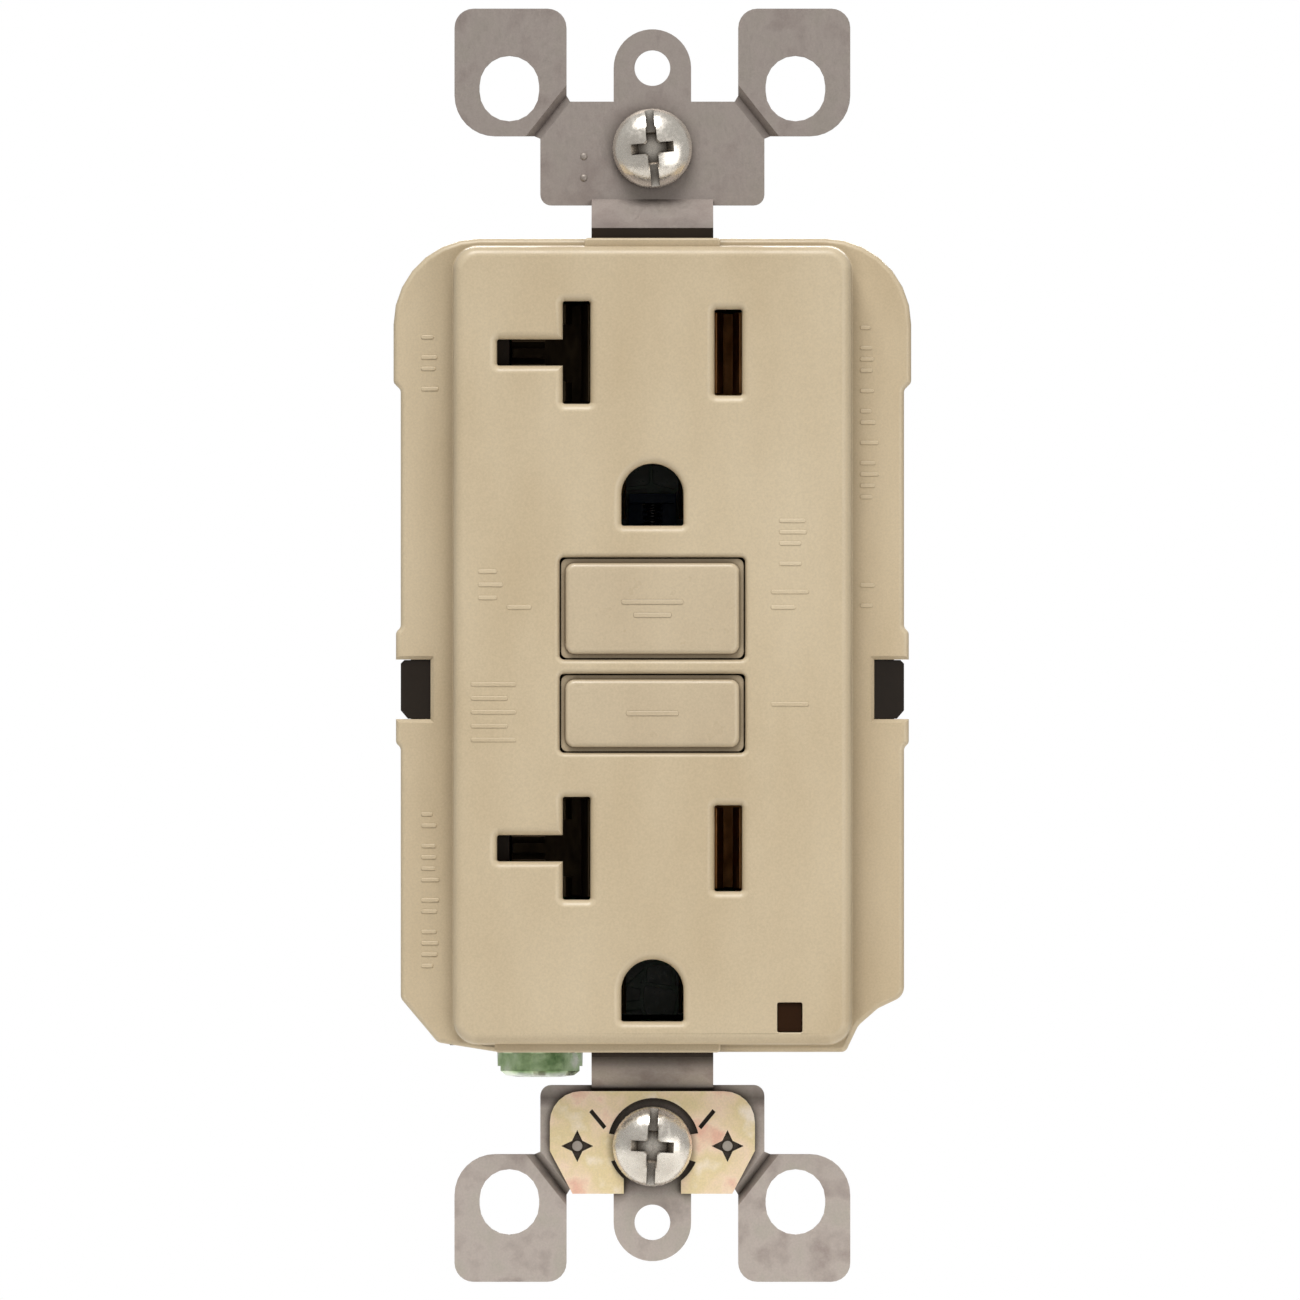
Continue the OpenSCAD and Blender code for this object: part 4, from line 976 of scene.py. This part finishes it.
def make_assembly_screws():
    """The four case screws, put in from the back."""
    made = []
    lo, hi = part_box("assembly_screws")
    for x in (14.9, -14.9):
        for z in (30, -26.2):
            seat = -(hi.y / MM - 1.75)
            head = dome(2.15, seat - 0.9, -hi.y / MM, 0.3) + [(2.15, seat - 0.2), (2.0, seat)]
            shell = Shell()
            shell.spin(screw_rings(head, seat, 1.2, -lo.y / MM - seat, 1.0, 0.4, 0.28), 28)
            obj = shell.build("assembly_screw")
            boolean(obj, recess(-hi.y / MM, 45, (0.3, 2.4, 0.2), (1.25, 0.6, 0.75)))
            move(obj, Matrix.Translation((x, 0, z)) @ Matrix.Rotation(math.pi, 4, "Z"))
            made.append(obj)
    piece(join(made[0], made[1:]), "assembly_screws_threaded", "assembly_screws", SCREW, "screw_steel")


# ---------- Springs and windings ----------


def make_spring(node, axis, r, wire, turns, name):
    """A round-wire compression spring that fills its CAD node's length, with closed ends."""
    lo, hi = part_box(node)
    k = "xyz".index(axis)
    mid = (lo + hi) / 2 / MM
    start, length = lo[k] / MM + wire, (hi[k] - lo[k]) / MM - 2 * wire
    points = []
    steps = 20
    total = turns + 1.5
    for i in range(int(total * steps) + 1):
        t = i / steps
        a = 2 * math.pi * t
        rise = min(1.0, max(0.0, (t - 0.75) / turns)) * length
        u, v = r * math.cos(a), r * math.sin(a)
        p = [0, 0, 0]
        p[k] = start + rise
        others = [j for j in range(3) if j != k]
        p[others[0]] = mid[others[0]] + u
        p[others[1]] = mid[others[1]] + v
        points.append(Vector(p))
    return piece(tube(points, wire, name, 8), name, node, STEEL, "spring_steel", 60)


def make_solenoid_winding():
    """Wire wound close round the bobbin, with each turn's ridge running on into the next."""
    lo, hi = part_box("solenoid_coil")
    mid = (lo + hi) / 2 / MM
    r = (hi.x - lo.x) / 2 / MM
    length = (hi.z - lo.z) / MM
    wire = 0.3
    steps, rings = 5, []
    count = int(length / wire) * steps
    shell = Shell()
    for i in range(count + 1):
        y = -length / 2 + length * i / count
        phase = i / steps

        def radius(a, phase=phase):
            layer = 0.05 * math.sin(3 * a + phase * 0.21)
            return r - 0.2 + 0.14 * abs(math.sin(math.pi * (phase - a / (2 * math.pi)))) + layer * 0.5

        rings.append((radius, y))
    bore_r = 2.55
    made = shell.turned(rings + [(bore_r, length / 2), (bore_r, -length / 2)], 40)
    shell.wall(*made, made[0])
    obj = shell.build("solenoid_winding")
    move(obj, Matrix.Translation(mid) @ Matrix.Rotation(math.radians(90), 4, "X"))
    piece(obj, "solenoid_winding", "solenoid_coil", COPPER, "copper_winding", 70)


def make_ring_winding(node, material, turns):
    """A ring core wound with wire: each turn is a ridge across the ring."""
    lo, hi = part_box(node)
    mid = (lo + hi) / 2 / MM
    outer = (hi.x - lo.x) / 2 / MM
    half = (hi.y - lo.y) / 2 / MM
    inner = 4.0
    section = [(outer - inner) / 2 - 0.12, half - 0.12]
    middle = (outer + inner) / 2
    shell = Shell()
    rings = []
    around = turns * 4
    for i in range(around):
        a = 2 * math.pi * i / around
        ridge = 0.1 * abs(math.sin(math.pi * i / 4 + math.pi / 8))
        start = len(shell.verts)
        for k in range(20):
            b = 2 * math.pi * k / 20
            c, s = math.cos(b), math.sin(b)
            squared = max(abs(c), abs(s)) ** -0.7
            rr = middle + (section[0] - 0.05 + ridge) * c * squared * 0.82
            y = (section[1] - 0.05 + ridge) * s * squared * 0.82
            shell.verts.append((rr * math.cos(a), y, rr * math.sin(a)))
        rings.append(list(range(start, start + 20)))
    for i in range(around):
        shell.wall(rings[i], rings[(i + 1) % around])
    obj = shell.build(node)
    move(obj, Matrix.Translation(mid))
    piece(obj, node + "_winding", node, material, "copper_winding", 70)


# ---------- Circuit board parts ----------

RESISTOR_Z = (-22.4, -19.6, -16.8, -14.0)
DIODE_Z = (-15.6, -12.8, -10.0)


def make_board_parts():
    """Leads, solder and bands for the parts on the board."""
    leads = []
    board_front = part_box("circuit_board")[0].y / MM
    board_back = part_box("circuit_board")[1].y / MM
    spots = []
    # A lead from each end of each body, at depth y, turns down to the board
    for rows, ends, y in ((RESISTOR_Z, (-12.3, -6.7), 19.4), (DIODE_Z, (6.7, 11.9), 19.3)):
        for z in rows:
            for x, inward in zip(ends, (0.35, -0.35)):
                spots.append((x, z))
                path = [(x + inward, y, z), (x, y + 0.1, z), (x, board_front + 0.1, z)]
                leads.append(tube([Vector(p) for p in path], 0.22, "lead", 8))
    # The chip's pins, which show beyond its sides
    for k in range(5):
        z = -5.5 + 0.8 * k
        for x in (-3.7, 2.5):
            leads.append(block((x - 0.3, x + 0.3), (19.6, board_front + 0.02), (z - 0.15, z + 0.15), 0.04))
    # Solder behind the other parts
    spots += [(1.6, 17), (-1.6, 17), (-14, 6), (14, 6), (-7, 28), (7, 28), (3, -5.7), (-13.1, -5.7)]
    for x, z in spots:
        shell = Shell()
        shell.spin([(0.15, 1.0), (0.35, 0.7), (0.55, 0.25), (0.9, 0.0)][::-1], 16)
        joint = shell.build("joint")
        move(joint, Matrix.Translation((x, board_back - 0.55, z)) @ Matrix.Scale(0.55, 4))
        leads.append(joint)
    detail(join(leads[0], leads[1:]), "board_leads", "housing", SOLDER, "spring_steel", 50)
    bands = []
    for z in RESISTOR_Z:
        for x in (-11.2, -10.3, -9.4, -7.9):
            shell = Shell()
            shell.slab(circle(0.84, 0, 0, 20), (-0.18, 0.18), 0.04, steps=2)
            band = shell.build("band")
            move(band, Matrix.Translation((x, 19.4, z)) @ Matrix.Rotation(math.radians(90), 4, "Z"))
            bands.append(band)
    detail(join(bands[0], bands[1:]), "resistor_bands", "housing", FIBRE, "resistor_tan", 50)


def make_tray_rib():
    """A rib that closes the well under the lower ground hole, at the foot of the tray."""
    rib = block((-4.2, 4.2), (-3.3, 1.1), (-32.5, -31.85), 0.1, "rib")
    detail(rib, "tray_foot_rib", "housing", DARK, SLOTS["middle_housing"])


def make_strap_specks():
    """Two small raised spots beside the upper screw."""
    specks = []
    for z in (41.0, 39.2):
        shell = Shell()
        shell.spin([(0.34, 0.06), (0.3, -0.04), (0.2, -0.1), (0.08, -0.12)], 16)
        spot = shell.build("spot")
        move(spot, Matrix.Translation((-5.75, -1.3, z)))
        specks.append(spot)
    detail(join(specks[0], specks[1:]), "strap_raised_spots", "housing", ZINC, "zinc_steel", 60)


# ---------- Everything else ----------

make_cover()
make_cover_marks()
make_button("reset_button", RESET, [((-2.6, 2.6), (0.35, 0.75)), ((-1.6, 1.6), (-0.75, -0.35))], 3.0,
            (-5.4, -4.4))
make_button("test_button", TEST, [((-2.2, 2.2), (-0.2, 0.2))], 1.2, (-5.4, 2.9))
make_box_screw("upper_mounting_screw", z=41.67, seat=-1.38, turn=-5)
make_box_screw("lower_mounting_screw", z=-42.02, seat=-1.93, turn=3)
make_ground_screw()
make_assembly_screws()
for name in ("line_hot_screw", "load_hot_screw"):
    make_terminal_screw(name, BRASS, "brass")
for name in ("line_neutral_screw", "load_neutral_screw"):
    make_terminal_screw(name, NICKEL, "plated_brass")
spring = make_spring("reset_spring", "y", 2.2, 0.25, 4, "reset_return_spring")
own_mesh(spring)
spring = make_spring("latch_spring", "z", 0.7, 0.12, 5, "latch_return_spring")
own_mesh(spring)
spring = make_spring("plunger_spring", "z", 2.25, 0.15, 3, "plunger_return_spring")
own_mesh(spring)
make_solenoid_winding()
make_ring_winding("sense_coil", COPPER, 90)
make_ring_winding("neutral_coil", DARK_COPPER, 60)
make_board_parts()
make_strap_specks()
make_tray_rib()

# CAD nodes whose shape is right: each one's material, and how far its edges are rounded in millimetres
KEPT = {
    "mounting_strap": (ZINC, 0.12), "self_ground_clip": (CHROMATE, 0.06), "clip_rivets": (ZINC, 0.05),
    "screw_retainer": (FIBRE, 0.08), "ground_contact_rivets": (ZINC, 0.05),
    "rear_housing": (BLACK, 0.1), "middle_housing": (DARK, 0.08), "light_pipe": (LENS, 0.06),
    "upper_ground_contact": (BRASS, 0.06), "lower_ground_contact": (BRASS, 0.06),
    "reset_pin": (STEEL, 0.06), "test_leaf": (BRASS, 0.05), "test_leaf_base": (BRASS, 0.05),
    "test_post": (STEEL, 0.05), "hot_contact_bar": (DARK_BRASS, 0.06),
    "neutral_contact_bar": (SHADED_NICKEL, 0.06), "contact_bar_rivets": (STEEL, 0.05),
    "fixed_contacts": (SILVER, 0.12),
    "line_hot_terminal": (BRASS, 0.08), "line_neutral_terminal": (NICKEL, 0.08),
    "load_hot_terminal": (BRASS, 0.08), "load_neutral_terminal": (NICKEL, 0.08),
    "line_hot_clamp": (BRASS, 0.1), "line_neutral_clamp": (NICKEL, 0.1),
    "load_hot_clamp": (BRASS, 0.1), "load_neutral_clamp": (NICKEL, 0.1),
    "hot_contact_arm": (BRASS, 0.05), "neutral_contact_arm": (NICKEL, 0.05),
    "hot_moving_contact": (SILVER, 0.12), "neutral_moving_contact": (SILVER, 0.12),
    "latch_block": (BLUE, 0.12), "latch_plate": (ZINC, 0.05), "solenoid_bobbin": (WHITE, 0.1),
    "plunger": (STEEL, 0.1), "transformer_case": (WHITE, 0.08), "circuit_board": (BOARD, 0.05),
    "control_chip": (EPOXY, 0.08), "varistor": (VARISTOR, 0.4), "capacitors": (CAPACITOR, 0.4),
    "resistors": (RESISTOR, 0.3), "diodes": (EPOXY, 0.1), "thyristor": (EPOXY, 0.12),
    "indicator_led": (WHITE, 0.15),
}
for node, (material, width) in KEPT.items():
    refine(node, material, width)


# ---------- Stage ----------

FLOOR_R = 150
FLOOR_TOP = -59
FLOOR_H = 4


def make_stage():
    """A plain pale floor, below what the camera sees in the main view."""
    shell = Shell()
    shell.slab(circle(FLOOR_R, 0, 0, 96), (0, FLOOR_H), 1.0)
    floor = shell.build("floor")
    move(floor, Matrix.Translation((0, 0, FLOOR_TOP - FLOOR_H)) @ Matrix.Rotation(math.radians(90), 4, "X"))
    n = Nodes("floor_paint")
    tone = n.ramp(n.noise(0.02, 2), [(0.3, linear((238, 237, 234))), (0.7, linear((243, 242, 240)))])
    n.link(tone, n.shader.inputs["Base Color"])
    n.link(n.spread(n.noise(0.05, 2), 0.7, 0.8), n.shader.inputs["Roughness"])
    floor.data.materials.append(n.mat)
    smooth(floor)


def area_light(name, place, size, power):
    """A soft light that points at the middle of the object."""
    light = bpy.data.lights.new(name, "AREA")
    light.shape = "RECTANGLE"
    light.size, light.size_y = size
    light.energy = power
    obj = bpy.data.objects.new(name, light)
    bpy.context.scene.collection.objects.link(obj)
    obj.location = place
    obj.rotation_euler = (-Vector(place)).to_track_quat("-Z", "Y").to_euler()


def make_world():
    """White behind the object, and a weaker white that lights it."""
    world = bpy.data.worlds.new("studio")
    bpy.context.scene.world = world
    world.use_nodes = True
    tree = world.node_tree
    tree.nodes.clear()
    out = tree.nodes.new("ShaderNodeOutputWorld")

    def background(colour, strength):
        node = tree.nodes.new("ShaderNodeBackground")
        node.inputs["Color"].default_value = (*colour, 1)
        node.inputs["Strength"].default_value = strength
        return node

    warm = (1.0, 0.99, 0.97)
    seen = background((1, 1, 1), 1.0)
    lit = background(warm, 0.22)
    mirrored = background(warm, 0.4)
    glossy = tree.nodes.new("ShaderNodeMixShader")
    mix = tree.nodes.new("ShaderNodeMixShader")
    ray = tree.nodes.new("ShaderNodeLightPath")
    tree.links.new(ray.outputs["Is Glossy Ray"], glossy.inputs[0])
    tree.links.new(lit.outputs[0], glossy.inputs[1])
    tree.links.new(mirrored.outputs[0], glossy.inputs[2])
    tree.links.new(ray.outputs["Is Camera Ray"], mix.inputs[0])
    tree.links.new(glossy.outputs[0], mix.inputs[1])
    tree.links.new(seen.outputs[0], mix.inputs[2])
    tree.links.new(mix.outputs[0], out.inputs[0])


def make_camera():
    """Straight on and far off, as in the photograph: 109.1 mm across the frame."""
    distance, width = 2.5, 0.1091
    data = bpy.data.cameras.new("camera")
    data.sensor_width = 36
    data.lens = 36 * distance / width
    data.clip_start = 0.05
    data.clip_end = 20
    cam = bpy.data.objects.new("camera", data)
    bpy.context.scene.collection.objects.link(cam)
    cam.location = (-0.0002, -distance, -0.0004)
    cam.rotation_euler = (math.radians(90), 0, 0)
    bpy.context.scene.camera = cam


make_stage()
make_world()
make_camera()
area_light("key", (-0.1, -0.48, 0.74), (0.5, 0.4), 6.8)
area_light("fill", (0.5, -0.7, -0.12), (0.5, 0.5), 1.8)
area_light("back", (0.1, 0.7, 0.45), (0.6, 0.4), 5)
bpy.context.scene.view_settings.view_transform = "Standard"
